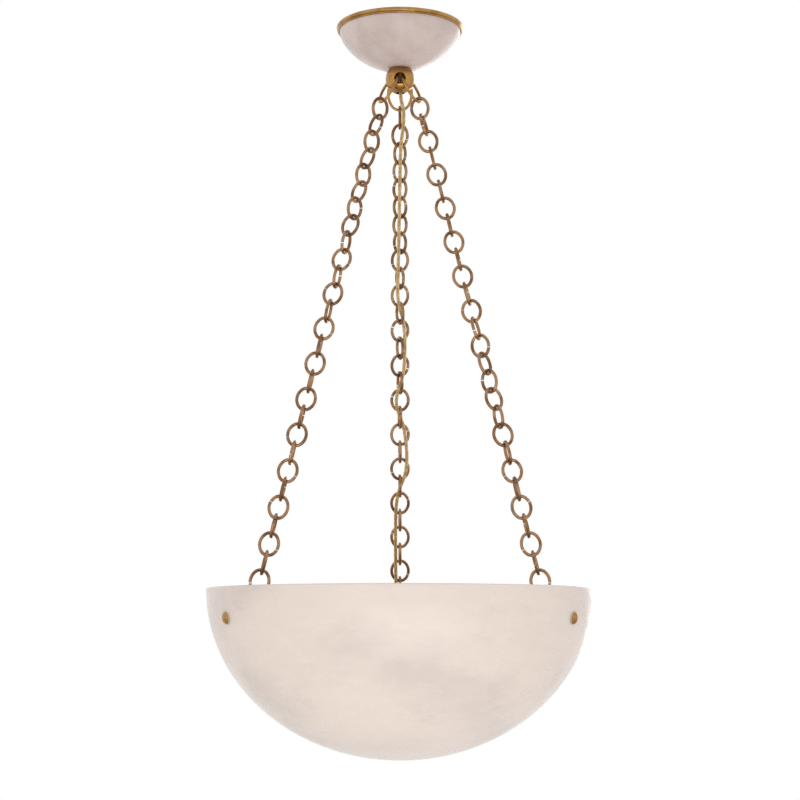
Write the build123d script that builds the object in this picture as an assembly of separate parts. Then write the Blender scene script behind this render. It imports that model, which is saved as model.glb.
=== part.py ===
from build123d import *
import os
from math import asin, atan2, cos, degrees, pi, radians, sin, sqrt, tan

# Alabaster bowl pendant: a stone bowl lit from inside, hung by three chains from a stone ceiling cup.
# Millimetres. The origin is the middle of the ceiling plane, +Z is up and the front is towards -Y.
# The chains run down to the bowl at three azimuths, measured from +X: front left, front right and rear.

os.makedirs("parts", exist_ok=True)

# ------------------------------------------------------------------ driving dimensions

# the whole
DROP = 610.0                    # ceiling to the bowl's rim
CHAINS = {"left": 210.0, "right": 330.0, "rear": 90.0}
LAMPS = (30.0, 150.0, 270.0)    # azimuths of the three lamps, between the chains

# the bowl, half an ellipse in section
BOWL_RADIUS = 203.0
BOWL_DEPTH = 178.0
BOWL_WALL = 7.0
BOWL_FLOOR = 9.0
BOWL_LIP = 1.8                  # rounding of the rim's two edges

# the ceiling cup
CUP_RADIUS = 66.2               # of its stone
CUP_DEPTH = 46.0                # of the dome that its flat seat cuts off
CUP_FULLNESS = 1.74             # exponent of the dome's outline, 2 is an ellipse
CUP_WALL = 6.0
CUP_SEAT_RADIUS = 17.0
TRIM_HEIGHT = 6.4               # the brass moulding round the stone's edge
TRIM_FLANGE = 4.2               # thickness of the part of it that lies on the stone
TRIM_PROUD = 2.8                # how far it stands out past the stone
TRIM_LAP = 3.9                  # how far it reaches in over the stone
TRIM_NOSE = 0.8                 # share of the height that its round nose takes
CUP_HOLE_PLAY = 0.6             # between the nipple and the stone
OUTLINE_STEPS = 12              # points along the dome's curved outline

# the bracket behind the ceiling cup
BRACKET_THICKNESS = 2.5
BRACKET_WIDTH = 20.0
BRACKET_DEPTH = 28.5            # ceiling to the underside of its web
BRACKET_WEB = 70.0              # length between the outsides of its legs
SLOT_SPACING = 88.9             # of a four inch ceiling box
SLOT_LENGTH = 12.0
SLOT_WIDTH = 5.0
FOOT_END = 53.0                 # how far the feet reach from the middle
NIPPLE_RADIUS = 4.9
NIPPLE_BORE = 3.3
NIPPLE_TOP = 23.0               # below the ceiling
NUT_RADIUS = 9.0
NUT_HEIGHT = 4.0
THREAD_PLAY = 0.1
SEAL_THICKNESS = 1.0
EARTH_SCREW_RADIUS = 1.75
EARTH_HEAD_RADIUS = 4.0
EARTH_HEAD_HEIGHT = 2.4
EARTH_OFFSET = 19.5             # its place along the web, from the nipple

# the hollow hub under the cup
HUB_RADIUS = 15.7
HUB_SHOULDER = 12.2             # top face down to the widest place
HUB_FACE = 9.5                  # radius of its flat top
HUB_WALL = 1.5
HUB_TOP_WALL = 4.0
HUB_MOUTH = 5.0                 # radius of the hole that the cord leaves by
HUB_HOLE_DROP = 14.2            # top face down to the middles of its side holes
HUB_HOLE_RADIUS = 6.3

# the hub's rings, one for each chain
RING_WIRE = 3.1
RING_HALF_WIDTH = 12.85         # these three to the middle of the wire
RING_HALF_LENGTH = 18.0
RING_CROWN = 11.0
RING_TILT = 27.0                # lean out from the vertical
RING_FOOT_RADIUS = 22.6         # place of its lowest point, from the axis
RING_FOOT_DROP = 39.8           # and below the hub's top face

# the chains
LINK_WIRE = 3.4
LINK_WIDTH = 22.5               # outside
LINK_PITCH = 19.6               # about, since a whole number of links fills the span
LINK_CROWN = 8.3                # end radius, to the middle of the wire
LINK_JOINT = 0.9                # gap where a link's wire closes
LINK_JOINT_RISE = 0.35          # its place, as a share of a link's half length
LINK_JOINT_SLANT = 12.0
PLAY = 0.3                      # between wires that hang in each other
EYE_PLAY = 0.6                  # the same at the eyes in the bowl
TWIST = {                       # turn of the odd links out of the bowl's side plane, by link
    "left": ((1, 80), (7, 72), (9, 50), (15, 32), (25, 30), (29, 12)),
    "right": ((1, -98), (4, -115), (10, -118), (14, -100), (17, -75), (20, -38), (25, -30), (29, -12)),
    "rear": ((1, -90), (2, -58), (4, -45), (8, -42), (9, -25), (15, -18), (19, -3), (29, 0)),
}

# the anchors, square to the bowl's wall
ANCHOR_DROP = 32.0              # rim down to the anchor, on the bowl's outside
SCREW_RADIUS = 2.5
SCREW_HEAD_RADIUS = 6.2
SCREW_HEAD_HEIGHT = 3.6
SCREW_HEAD_EDGE = 0.9           # height of the head's straight edge, under its dome
STONE_HOLE_RADIUS = 3.6
WASHER_RADIUS = 6.4
WASHER_THICKNESS = 0.8
PAD_RADIUS = 7.5
PAD_THICKNESS = 1.5
SEAT_PLAY = 0.25                # takes up the curve of the stone under a flat washer
EYE_BARREL_RADIUS = 4.6
EYE_BARREL_LENGTH = 12.0
EYE_RADIUS = 5.2                # of the eye, to the middle of its wire
EYE_WIRE = 3.2
EYE_BORE_END = 3.0              # what the screw leaves free at the eye's end of the barrel

# the lamp carrier
ARM_WIDTH = 12.0
ARM_THICKNESS = 2.0
TAB_LENGTH = 8.0                # screw hole to the end of the arm's tab
DISC_RADIUS = 30.0
DISC_DROP = 127.0               # rim down to the underside of the disc
DRUM_RADIUS = 26.0
DRUM_HEIGHT = 44.0
DRUM_WALL = 2.5
LID_THICKNESS = 2.0
BOLT_RADIUS = 3.0
BOLT_HEAD_RADIUS = 5.5
BOLT_HEAD_HEIGHT = 3.5
PLUG_RADIUS = 8.0               # the closed-end connector that joins the wires
PLUG_HEIGHT = 16.0
LEAD_RADIUS = 1.3

# the lamps, with distances along each lamp's axis from the drum's axis
LAMP_DROP = 103.0               # rim down to where the lamp axes meet
LAMP_RISE = 20.0                # degrees above the horizontal
BOSS_RADIUS = 9.0
BOSS_INNER = 19.0
BOSS_OUTER = 32.0
SOCKET_RADIUS = 17.0
SOCKET_LENGTH = 46.0
SOCKET_CAVITY_RADIUS = 14.3
SOCKET_CAVITY_DEPTH = 32.0
SHELL_RADIUS = 14.1
SHELL_WALL = 0.6
SHELL_LENGTH = 26.0
CAP_RADIUS = 13.2
CAP_LENGTH = 24.0
CAP_WALL = 0.6
TIP_RADIUS = 5.9
BULB_NECK_RADIUS = 13.6
BULB_RADIUS = 24.0
BULB_LENGTH = 62.0              # glass alone, out of its cap
BULB_WALL = 0.9
BULB_TRAVEL = 3.63              # of one turn in the socket

# the flat cord, drawn as a round one of the same section
CORD_DIAMETER = 3.0
# along the rear chain: how many links down, then mm to the side and mm outward from the chain's line
CORD_WEAVE = (
    (1.55, 3.8, -7.0), (2.4, 1.0, -6.3), (4.0, 0.0, -5.9), (7.0, -0.9, -6.2), (9.5, -2.0, -5.4),
    (11.35, -2.9, -5.2), (12.65, 5.8, -2.3), (15.4, 5.2, -2.7), (16.6, -3.8, -4.6), (17.45, -4.2, -4.7),
    (18.55, 5.5, -4.7), (21.0, 9.2, -4.9), (22.5, -4.4, -4.5), (25.0, -5.2, -4.8), (28.0, -4.5, -4.2),
)
CORD_TAIL = ((157.0, 22.0), (150.0, 46.0))  # radius and depth under the rim, off the chain's end
CORD_TAIL_DRIFT = 0.3                   # how fast it comes back over the arm, as a share of its side
CORD_LEAVE = 0.6                        # where it parts from the chain, on the run to its tail
CORD_HEAD = ((0.0, 0.0), (4.5, 9.0))    # side and rearward places of its first two bends
CORD_NECK_DROP = (5.0, 17.0)            # and how far under the hub's mouth they are
CORD_LIFT = 3.2                         # cord's middle above the rear arm's middle
BUSHING_RISE = 10.0                     # of the cord's entry above the lamp axes' meeting point
BUSHING_RADIUS = 4.5
CORD_ON_ARM = (0.30, 0.60)              # shares of the rear arm between which the cord lies on it
CLIP_PLACES = (0.39, 0.53)
CLIP_WIDTH = 5.0
CLIP_WALL = 1.2
CLIP_UNDER = 2.2                        # how far a clip reaches under the arm's middle
CORD_BEND = 18.0                        # its largest bend radius
CORD_LEVEL_RADIUS = 56.0                # where it turns level for the drum
TERMINAL_SIZE = (14.0, 14.0, 9.0)
TERMINAL_OFFSET = 20.0                  # its cord hole from the nipple's axis
TERMINAL_WELLS = (-3.5, 3.5)            # its two screws to each side of its middle
TERMINAL_WELL_BACK = 4.2                # and behind its middle
TERMINAL_WELL_RADIUS = 1.9
CORD_TOP = 7.0                          # the cord's highest run, below the ceiling

# ------------------------------------------------------------------ places worked out from them


def dome_point(radius, depth, angle):
    """A point of the cup's outline, as (radius, height below the trim's flange)."""
    power = 2 / CUP_FULLNESS
    return radius * cos(radians(angle)) ** power, -depth * sin(radians(angle)) ** power


def dome_angle(radius, at_radius):
    """Where along the outline of that radius the dome has narrowed to at_radius, in degrees."""
    share = (at_radius / radius) ** (CUP_FULLNESS / 2)
    return degrees(atan2(sqrt(1 - share**2), share))


seat_angle = dome_angle(CUP_RADIUS, CUP_SEAT_RADIUS)
stone_top = -TRIM_FLANGE
seat_height = stone_top + dome_point(CUP_RADIUS, CUP_DEPTH, seat_angle)[1]
cup_inside = seat_height + CUP_WALL
hub_top = seat_height
hub_equator = hub_top - HUB_SHOULDER
hub_mouth = hub_equator - sqrt(HUB_RADIUS**2 - HUB_MOUTH**2)
hub_holes = hub_top - HUB_HOLE_DROP

ring_foot = (RING_FOOT_RADIUS, hub_top - RING_FOOT_DROP)
ring_middle = (
    ring_foot[0] - RING_HALF_LENGTH * sin(radians(RING_TILT)),
    ring_foot[1] + RING_HALF_LENGTH * cos(radians(RING_TILT)),
)

rim = -DROP
inner_radius = BOWL_RADIUS - BOWL_WALL
inner_depth = BOWL_DEPTH - BOWL_FLOOR
anchor_radius = BOWL_RADIUS * sqrt(1 - (ANCHOR_DROP / BOWL_DEPTH) ** 2)
anchor_height = rim - ANCHOR_DROP
anchor_dip = atan2(ANCHOR_DROP / BOWL_DEPTH**2, anchor_radius / BOWL_RADIUS**2)


def on_anchor(distance, side=0.0):
    """(radius, height) of a point on an anchor's axis, so far in from the outer face, and so far up."""
    return (
        anchor_radius - distance * cos(anchor_dip) + side * sin(anchor_dip),
        anchor_height + distance * sin(anchor_dip) + side * cos(anchor_dip),
    )


def wall_along_anchor():
    """The bowl's thickness along an anchor's axis."""
    run = -cos(anchor_dip), sin(anchor_dip)
    start = anchor_radius, -ANCHOR_DROP
    a = (run[0] / inner_radius) ** 2 + (run[1] / inner_depth) ** 2
    b = 2 * (start[0] * run[0] / inner_radius**2 + start[1] * run[1] / inner_depth**2)
    c = (start[0] / inner_radius) ** 2 + (start[1] / inner_depth) ** 2 - 1
    return (-b - sqrt(b * b - 4 * a * c)) / (2 * a)


anchor_wall = wall_along_anchor()
pad_start = anchor_wall + SEAT_PLAY
tab_start = pad_start + PAD_THICKNESS
barrel_start = tab_start + ARM_THICKNESS
eye_middle = barrel_start + EYE_BARREL_LENGTH + EYE_RADIUS
eye = on_anchor(eye_middle)

span_r = eye[0] - ring_foot[0]
span_z = eye[1] - ring_foot[1]
span = sqrt(span_r**2 + span_z**2) - EYE_RADIUS
lean = atan2(span_r, -span_z)
ring_seat = (RING_WIRE + LINK_WIRE) / 2 + PLAY
eye_seat = (EYE_WIRE + LINK_WIRE) / 2 + EYE_PLAY
filled = span - LINK_WIRE - PLAY + ring_seat + eye_seat
link_count = round(filled / LINK_PITCH)
pitch = filled / link_count
link_half_length = (pitch + PLAY + LINK_WIRE) / 2
link_half_width = (LINK_WIDTH - LINK_WIRE) / 2
first_link = link_half_length - ring_seat


def on_chain(links, side=0.0, outward=0.0):
    """A point beside a chain at azimuth 0, counted in links from the first one's middle."""
    down = first_link + (links - 1) * pitch
    return Vector(
        ring_foot[0] + down * sin(lean) + outward * cos(lean),
        side,
        ring_foot[1] - down * cos(lean) + outward * sin(lean),
    )


def between(knots, index):
    """The value at an index, read from straight lines between (index, value) knots."""
    for (i0, v0), (i1, v1) in zip(knots, knots[1:]):
        if index <= i1:
            return v0 + (v1 - v0) * (index - i0) / (i1 - i0)
    return knots[-1][1]


STANDING = (Align.CENTER, Align.CENTER, Align.MIN)


def turned(outline):
    """A solid turned about Z from a closed outline of lines and arcs, drawn as (radius, height)."""
    return revolve(Plane.XZ * make_face(outline), Axis.Z)


def at_azimuth(azimuth, shape):
    return Rot(0, 0, azimuth) * shape


def cylinder(radius, low, high):
    """A plain cylinder on Z between two heights."""
    return Pos(0, 0, (low + high) / 2) * Cylinder(radius, high - low)


def tube(outer, inner, low, high):
    return cylinder(outer, low, high) - cylinder(inner, low - 1, high + 1)


def hex_nut(radius, bore, low, high):
    """A six-sided nut round a bore; radius is to its corners."""
    blank = extrude(Pos(0, 0, low) * RegularPolygon(radius, 6), high - low)
    return blank - cylinder(bore, low - 1, high + 1)


def bent_wire(middle, radius, start, turn, wire):
    """Round wire bent about a middle in the XZ plane, from a start angle through a turn, in degrees."""
    out = Vector(cos(radians(start)), 0, sin(radians(start)))
    centre = Vector(middle[0], 0, middle[1])
    along = Vector(-out.Z, 0, out.X)
    section = Plane(origin=centre + out * radius, x_dir=out, z_dir=along) * Circle(wire / 2)
    return revolve(section, Axis(centre, (0, -1, 0)), turn)


def oval_ring(half_width, half_length, crown, wire):
    """A closed oval of round wire in the XZ plane, long way up: two crown arcs and two side arcs."""
    rise = half_length - crown
    side = (half_width**2 + rise**2 - crown**2) / (2 * (half_width - crown))
    reach = side - half_width
    corner = degrees(atan2(rise, reach))
    right = bent_wire((-reach, 0), side, -corner, 2 * corner, wire)
    left = bent_wire((reach, 0), side, 180 - corner, 2 * corner, wire)
    top = bent_wire((0, rise), crown, corner, 180 - 2 * corner, wire)
    bottom = bent_wire((0, -rise), crown, 180 + corner, 180 - 2 * corner, wire)
    return right + top + left + bottom


def group(shapes):
    """Separate solids that share a node."""
    return Compound(children=[solid for shape in shapes for solid in shape.solids()])


def anchor_place(azimuth):
    """The frame of one anchor: its +Z points out of the bowl, square to the wall, and +Y points up."""
    out = Vector(cos(anchor_dip), 0, -sin(anchor_dip))
    foot = Vector(anchor_radius, 0, anchor_height)
    return Rot(0, 0, azimuth) * Plane(origin=foot, x_dir=(0, 1, 0), z_dir=out).location


def lamp_place(azimuth):
    """The frame of one lamp: its +Z points out of the socket."""
    out = Vector(cos(radians(LAMP_RISE)), 0, sin(radians(LAMP_RISE)))
    meet = Vector(0, 0, rim - LAMP_DROP)
    return Rot(0, 0, azimuth) * Plane(origin=meet, x_dir=(0, 1, 0), z_dir=out).location


# ------------------------------------------------------------------ ceiling cup and its fixings


def cup_trim():
    """The turned brass moulding: a round nose above a small step, on the stone's edge."""
    edge = CUP_RADIUS + TRIM_PROUD
    inner = CUP_RADIUS - TRIM_LAP
    skirt = CUP_RADIUS + SEAT_PLAY
    step = skirt + 0.45 * TRIM_PROUD
    nose_low = -TRIM_NOSE * TRIM_HEIGHT
    outline = (
        Line((inner, 0), (edge - 1.2, 0))
        + ThreePointArc((edge - 1.2, 0), (edge, nose_low / 2), (edge - 0.7, nose_low))
        + Polyline(
            (edge - 0.7, nose_low), (step, nose_low), (step, -TRIM_HEIGHT), (skirt, -TRIM_HEIGHT),
            (skirt, stone_top), (inner, stone_top), (inner, 0),
        )
    )
    return turned(outline)


def cup_stone():
    """The ceiling cup: a shallow stone dome with a flat seat for the hub and a hole for the nipple."""
    steps = range(OUTLINE_STEPS + 1)
    outer = [dome_point(CUP_RADIUS, CUP_DEPTH, seat_angle * k / OUTLINE_STEPS) for k in steps]
    inside = CUP_RADIUS - CUP_WALL
    inside_depth = CUP_DEPTH - CUP_WALL
    inner_end = dome_angle(inside, CUP_SEAT_RADIUS - 2)
    inner = [dome_point(inside, inside_depth, inner_end * k / OUTLINE_STEPS) for k in steps]
    outer = [(r, z + stone_top) for r, z in outer]
    inner = [(r, z + stone_top) for r, z in inner[:-1]] + [(inner[-1][0], cup_inside)]
    hole = NIPPLE_RADIUS + THREAD_PLAY + CUP_HOLE_PLAY
    outline = (
        Spline(*outer)
        + Polyline(outer[-1], (hole, seat_height), (hole, cup_inside), inner[-1])
        + Spline(*inner)
        + Line(inner[0], outer[0])
    )
    return turned(outline)


def bracket():
    """A bent steel strap: two slotted feet on the ceiling, two legs, and a web with the nipple's hole."""
    leg = BRACKET_WEB / 2
    web_low = -BRACKET_DEPTH
    web_top = web_low + BRACKET_THICKNESS
    sheet = Polyline(
        (-FOOT_END, 0), (-leg + BRACKET_THICKNESS, 0), (-leg + BRACKET_THICKNESS, web_top),
        (leg - BRACKET_THICKNESS, web_top), (leg - BRACKET_THICKNESS, 0), (FOOT_END, 0),
        (FOOT_END, -BRACKET_THICKNESS), (leg, -BRACKET_THICKNESS), (leg, web_low), (-leg, web_low),
        (-leg, -BRACKET_THICKNESS), (-FOOT_END, -BRACKET_THICKNESS), (-FOOT_END, 0),
    )
    strap = extrude(Plane.XZ * make_face(sheet), BRACKET_WIDTH / 2, both=True)
    slot = extrude(SlotOverall(SLOT_LENGTH, SLOT_WIDTH), BRACKET_DEPTH, both=True)
    feet = cylinder(FOOT_END * 2, -BRACKET_THICKNESS - 1, 1)
    for side in (-1, 1):
        strap -= Pos(side * SLOT_SPACING / 2, 0, 0) * slot & feet
    strap -= cylinder(NIPPLE_RADIUS + THREAD_PLAY, web_low - 1, web_top + 1)
    earth = cylinder(EARTH_SCREW_RADIUS + THREAD_PLAY, web_low - 1, web_top + 1)
    return strap - Pos(-EARTH_OFFSET, 0, 0) * earth


def ground_screw():
    """The earth screw in the bracket's web, with its head on top."""
    web_top = -BRACKET_DEPTH + BRACKET_THICKNESS
    head_top = web_top + EARTH_HEAD_HEIGHT
    shank = cylinder(EARTH_SCREW_RADIUS, web_top - 8, web_top + 0.5)
    head = cylinder(EARTH_HEAD_RADIUS, web_top, head_top)
    driver = Pos(0, 0, head_top) * Box(6, 0.9, 2.2)
    return Pos(-EARTH_OFFSET, 0, 0) * (shank + head - driver)


def nipple():
    """The threaded tube from the bracket down into the hub's top."""
    return tube(NIPPLE_RADIUS, NIPPLE_BORE, hub_top - HUB_TOP_WALL, -NIPPLE_TOP)


def nipple_nuts():
    """One nut holds the nipple in the bracket's web, the other draws the hub against the cup."""
    bore = NIPPLE_RADIUS + THREAD_PLAY
    web_low = -BRACKET_DEPTH
    upper = hex_nut(NUT_RADIUS, bore, web_low - NUT_HEIGHT, web_low)
    lower_floor = cup_inside + SEAL_THICKNESS
    lower = hex_nut(NUT_RADIUS, bore, lower_floor, lower_floor + NUT_HEIGHT)
    return group([upper, lower])


def cup_seal():
    """The fibre washer between the lower nut and the stone."""
    bore = NIPPLE_RADIUS + THREAD_PLAY + 0.2
    return tube(NUT_RADIUS + 2, bore, cup_inside, cup_inside + SEAL_THICKNESS)


def terminal_block():
    """The block on the bracket's web where the cord meets the house wiring."""
    width, depth, height = TERMINAL_SIZE
    floor = -BRACKET_DEPTH + BRACKET_THICKNESS
    place = Pos(TERMINAL_OFFSET, 0, floor)
    body = Pos(0, 0, height / 2) * Box(width, depth, height)
    body = fillet(body.edges().filter_by(Axis.Z), 1.5)
    well = Cylinder(TERMINAL_WELL_RADIUS, 6.0)
    entry = Rot(90, 0, 0) * Cylinder(1.5, 10.0)
    wells = [Pos(x, TERMINAL_WELL_BACK, height) * well for x in TERMINAL_WELLS]
    wires = [Pos(x, -depth / 2, 2.6) * entry for x in TERMINAL_WELLS]
    return place * (body - wells - wires)


def terminal_screws():
    """The block's two slotted screws, at the bottom of their wells."""
    top = TERMINAL_SIZE[2] - 0.6
    floor = -BRACKET_DEPTH + BRACKET_THICKNESS
    screw = cylinder(TERMINAL_WELL_RADIUS - 0.2, top - 2.4, top) - Pos(0, 0, top) * Box(4, 0.6, 1.2)
    return group([Pos(TERMINAL_OFFSET + x, TERMINAL_WELL_BACK, floor) * screw for x in TERMINAL_WELLS])


# ------------------------------------------------------------------ hub and rings


def hub():
    """The hollow brass hub: flat top, full shoulder, round bottom with a mouth, three side holes."""
    bore = NIPPLE_RADIUS + THREAD_PLAY
    inside = HUB_RADIUS - HUB_WALL
    shoulder = HUB_RADIUS - HUB_FACE
    inner_top = hub_top - HUB_TOP_WALL
    mouth_angle = degrees(atan2(-sqrt(HUB_RADIUS**2 - HUB_MOUTH**2), HUB_MOUTH))
    inner_mouth = -sqrt(inside**2 - HUB_MOUTH**2)
    inner_angle = degrees(atan2(inner_mouth, HUB_MOUTH))
    inner_face = HUB_FACE - HUB_WALL
    inner_shoulder = HUB_SHOULDER - HUB_TOP_WALL
    outline = (
        Line((bore, hub_top), (HUB_FACE, hub_top))
        + EllipticalCenterArc((HUB_FACE, hub_equator), shoulder, HUB_SHOULDER, arc_size=90)
        + CenterArc((0, hub_equator), HUB_RADIUS, 0, mouth_angle)
        + Line((HUB_MOUTH, hub_mouth), (HUB_MOUTH, hub_equator + inner_mouth))
        + CenterArc((0, hub_equator), inside, 0, inner_angle)
        + EllipticalCenterArc((inner_face, hub_equator), shoulder, inner_shoulder, arc_size=90)
        + Polyline((inner_face, inner_top), (bore, inner_top), (bore, hub_top))
    )
    body = turned(outline)
    drill = Pos(HUB_RADIUS, 0, hub_holes) * Rot(0, 90, 0) * Cylinder(HUB_HOLE_RADIUS, HUB_RADIUS)
    for azimuth in CHAINS.values():
        body -= at_azimuth(azimuth + 180, drill)
    return body


def hub_ring(azimuth):
    """A hub ring: it runs through two neighbouring side holes and leans out with its chain."""
    loop = oval_ring(RING_HALF_WIDTH, RING_HALF_LENGTH, RING_CROWN, RING_WIRE)
    place = Pos(ring_middle[0], 0, ring_middle[1]) * Rot(0, -RING_TILT, 0) * Rot(0, 0, 90)
    return at_azimuth(azimuth, place * loop)


# ------------------------------------------------------------------ chains


def open_link():
    """One bent link, its wire ends meeting high on one long side with a small gap."""
    link = oval_ring(link_half_width, link_half_length, LINK_CROWN, LINK_WIRE)
    place = Pos(link_half_width, 0, LINK_JOINT_RISE * link_half_length) * Rot(0, LINK_JOINT_SLANT, 0)
    return link - place * Box(3 * LINK_WIRE, 3 * LINK_WIRE, LINK_JOINT)


def joint_turn(index):
    """Which of four ways round a link hangs, so that the joints don't line up: (end over end, about Z)."""
    return 180 * (index * index // 3 % 2), 180 * (index // 2 % 2)


def link_places(name):
    """The place of every link of a chain, first to last."""
    places = []
    for index in range(1, link_count + 1):
        roll = between(TWIST[name], index) + 90 * ((index + 1) % 2)
        over, about = joint_turn(index)
        down = Pos(*on_chain(index)) * Rot(0, -degrees(lean), 0)
        places.append(Rot(0, 0, CHAINS[name]) * down * Rot(0, 0, 90 + about - roll) * Rot(over, 0, 0))
    return places


# ------------------------------------------------------------------ bowl and anchors


def bowl_side(radius, depth):
    """A quarter of an ellipse from just under the rim down to the bowl's lowest point."""
    start = degrees(asin(BOWL_LIP / depth))
    upper = EllipticalCenterArc((0, 0), radius, depth, start, arc_size=90 - start)
    return Pos(0, rim, 0) * mirror(upper, Plane.XZ)


def bowl():
    """The stone bowl: a half ellipse outside and in, a rounded rim, and a hole for each anchor."""
    outside = bowl_side(BOWL_RADIUS, BOWL_DEPTH)
    inside = bowl_side(inner_radius, inner_depth)
    outer_edge = outside @ 0
    inner_edge = inside @ 0
    corner = BOWL_LIP * (1 - sqrt(0.5))
    outline = (
        outside
        + ThreePointArc(outer_edge, (outer_edge.X - corner, rim - corner), (outer_edge.X - BOWL_LIP, rim))
        + Line((outer_edge.X - BOWL_LIP, rim), (inner_edge.X + BOWL_LIP, rim))
        + ThreePointArc((inner_edge.X + BOWL_LIP, rim), (inner_edge.X + corner, rim - corner), inner_edge)
        + inside
        + Line((0, rim - inner_depth), (0, rim - BOWL_DEPTH))
    )
    shell = turned(outline)
    for azimuth in CHAINS.values():
        shell -= anchor_place(azimuth) * Cylinder(STONE_HOLE_RADIUS, 4 * BOWL_WALL)
    return shell


def anchor_screw():
    """A domed screw: its head outside the bowl, its shank through to the eye's barrel."""
    seat = WASHER_THICKNESS + SEAT_PLAY
    flat = SCREW_HEAD_EDGE
    dome = SCREW_HEAD_HEIGHT - flat
    ball = (SCREW_HEAD_RADIUS**2 + dome**2) / (2 * dome)
    outline = (
        Polyline((0, seat), (SCREW_HEAD_RADIUS, seat), (SCREW_HEAD_RADIUS, seat + flat))
        + RadiusArc((SCREW_HEAD_RADIUS, seat + flat), (0, seat + SCREW_HEAD_HEIGHT), -ball)
        + Line((0, seat + SCREW_HEAD_HEIGHT), (0, seat))
    )
    tip = barrel_start + EYE_BARREL_LENGTH - EYE_BORE_END
    return turned(outline) + cylinder(SCREW_RADIUS, -tip, seat + 0.5)


def anchor_washer():
    return tube(WASHER_RADIUS, SCREW_RADIUS + THREAD_PLAY, SEAT_PLAY, SEAT_PLAY + WASHER_THICKNESS)


def anchor_pad():
    """The soft washer inside the bowl, between the stone and the arm's tab."""
    return tube(PAD_RADIUS, SCREW_RADIUS + THREAD_PLAY, -pad_start - PAD_THICKNESS, -pad_start)


def eye_nut():
    """The nut on the screw's inner end, with the eye that the chain's last link hangs in."""
    loop = Rot(0, 0, 90) * bent_wire((0, 0), EYE_RADIUS, 0, 360, EYE_WIRE)
    barrel = cylinder(EYE_BARREL_RADIUS, -barrel_start - EYE_BARREL_LENGTH + 1.2, -barrel_start)
    neck = Pos(0, 0, -eye_middle + EYE_RADIUS + 0.5) * Cone(2.2, EYE_BARREL_RADIUS, 2.2, align=STANDING)
    bore_end = barrel_start + EYE_BARREL_LENGTH - EYE_BORE_END + 0.4
    bore = cylinder(SCREW_RADIUS + THREAD_PLAY, -bore_end, 0)
    return Pos(0, 0, -eye_middle) * loop + (barrel + neck - bore)


# ------------------------------------------------------------------ lamp carrier

disc_low = rim - DISC_DROP
disc_top = disc_low + ARM_THICKNESS
drum_top = disc_top + DRUM_HEIGHT
lamp_meet = rim - LAMP_DROP


def arm_line():
    """The middle line of an arm in (radius, height): from the disc up to its tab on the anchor."""
    tab = tab_start + ARM_THICKNESS / 2
    return [
        (DISC_RADIUS - 6, disc_low + ARM_THICKNESS / 2),
        (DISC_RADIUS + 2, disc_low + ARM_THICKNESS / 2),
        on_anchor(tab, -TAB_LENGTH - 1.5),
        on_anchor(tab, TAB_LENGTH),
    ]


def thickened(points, thickness):
    """A closed outline, half a thickness to each side of a bent line, with mitred corners."""
    def side(sign):
        edge = []
        for k, (r, z) in enumerate(points):
            before = points[k - 1] if k else None
            after = points[k + 1] if k + 1 < len(points) else None
            pairs = [(a, b) for a, b in ((before, (r, z)), ((r, z), after)) if a and b]
            turns = [atan2(b[1] - a[1], b[0] - a[0]) for a, b in pairs]
            mean = sum(turns) / len(turns)
            half = (turns[-1] - turns[0]) / 2
            reach = sign * thickness / 2 / cos(half)
            edge.append((r - reach * sin(mean), z + reach * cos(mean)))
        return edge

    loop = side(1) + side(-1)[::-1]
    return Polyline(*loop, loop[0])


def carrier():
    """The steel carrier: a disc in the middle and three arms that end in a tab on each anchor."""
    arm = extrude(Plane.XZ * make_face(thickened(arm_line(), ARM_THICKNESS)), ARM_WIDTH / 2, both=True)
    body = cylinder(DISC_RADIUS, disc_low, disc_top)
    screw_hole = Pos(0, 0, -tab_start) * Cylinder(SCREW_RADIUS + THREAD_PLAY, 4 * ARM_THICKNESS)
    for azimuth in CHAINS.values():
        body += at_azimuth(azimuth, arm)
    for azimuth in CHAINS.values():
        body -= anchor_place(azimuth) * screw_hole
    return body - cylinder(BOLT_RADIUS + THREAD_PLAY, disc_low - 1, disc_top + 1)


def drum():
    """The cast drum that holds the sockets, open at the top, with a flat boss for each."""
    body = cylinder(DRUM_RADIUS, disc_top, drum_top)
    for azimuth in LAMPS:
        body += lamp_place(azimuth) * cylinder(BOSS_RADIUS, 0, BOSS_OUTER)
    hollow = cylinder(DRUM_RADIUS - DRUM_WALL, disc_top + DRUM_WALL, drum_top + 1)
    for azimuth in LAMPS:
        hollow -= lamp_place(azimuth) * cylinder(BOSS_RADIUS, BOSS_INNER, BOSS_OUTER)
    body -= hollow
    body -= cylinder(BOLT_RADIUS + THREAD_PLAY, disc_top - 1, disc_top + DRUM_WALL + 1)
    for azimuth in LAMPS:
        body -= lamp_place(azimuth) * cylinder(NIPPLE_RADIUS + THREAD_PLAY, BOSS_INNER - 2, BOSS_OUTER + 2)
    body -= bushing_place() * cylinder(BUSHING_RADIUS + THREAD_PLAY, -2 * DRUM_WALL, 2 * DRUM_WALL)
    return body


def drum_lid():
    """The drum's lid, with a rib that centres it in the drum."""
    plate = cylinder(DRUM_RADIUS, drum_top, drum_top + LID_THICKNESS)
    inside = DRUM_RADIUS - DRUM_WALL - THREAD_PLAY
    knob = cylinder(4.0, drum_top + LID_THICKNESS - 0.5, drum_top + LID_THICKNESS + 5)
    knob = fillet(knob.edges().group_by(Axis.Z)[-1], 2.0)
    return plate + tube(inside, inside - 1.5, drum_top - 3, drum_top + 0.5) + knob


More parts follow.
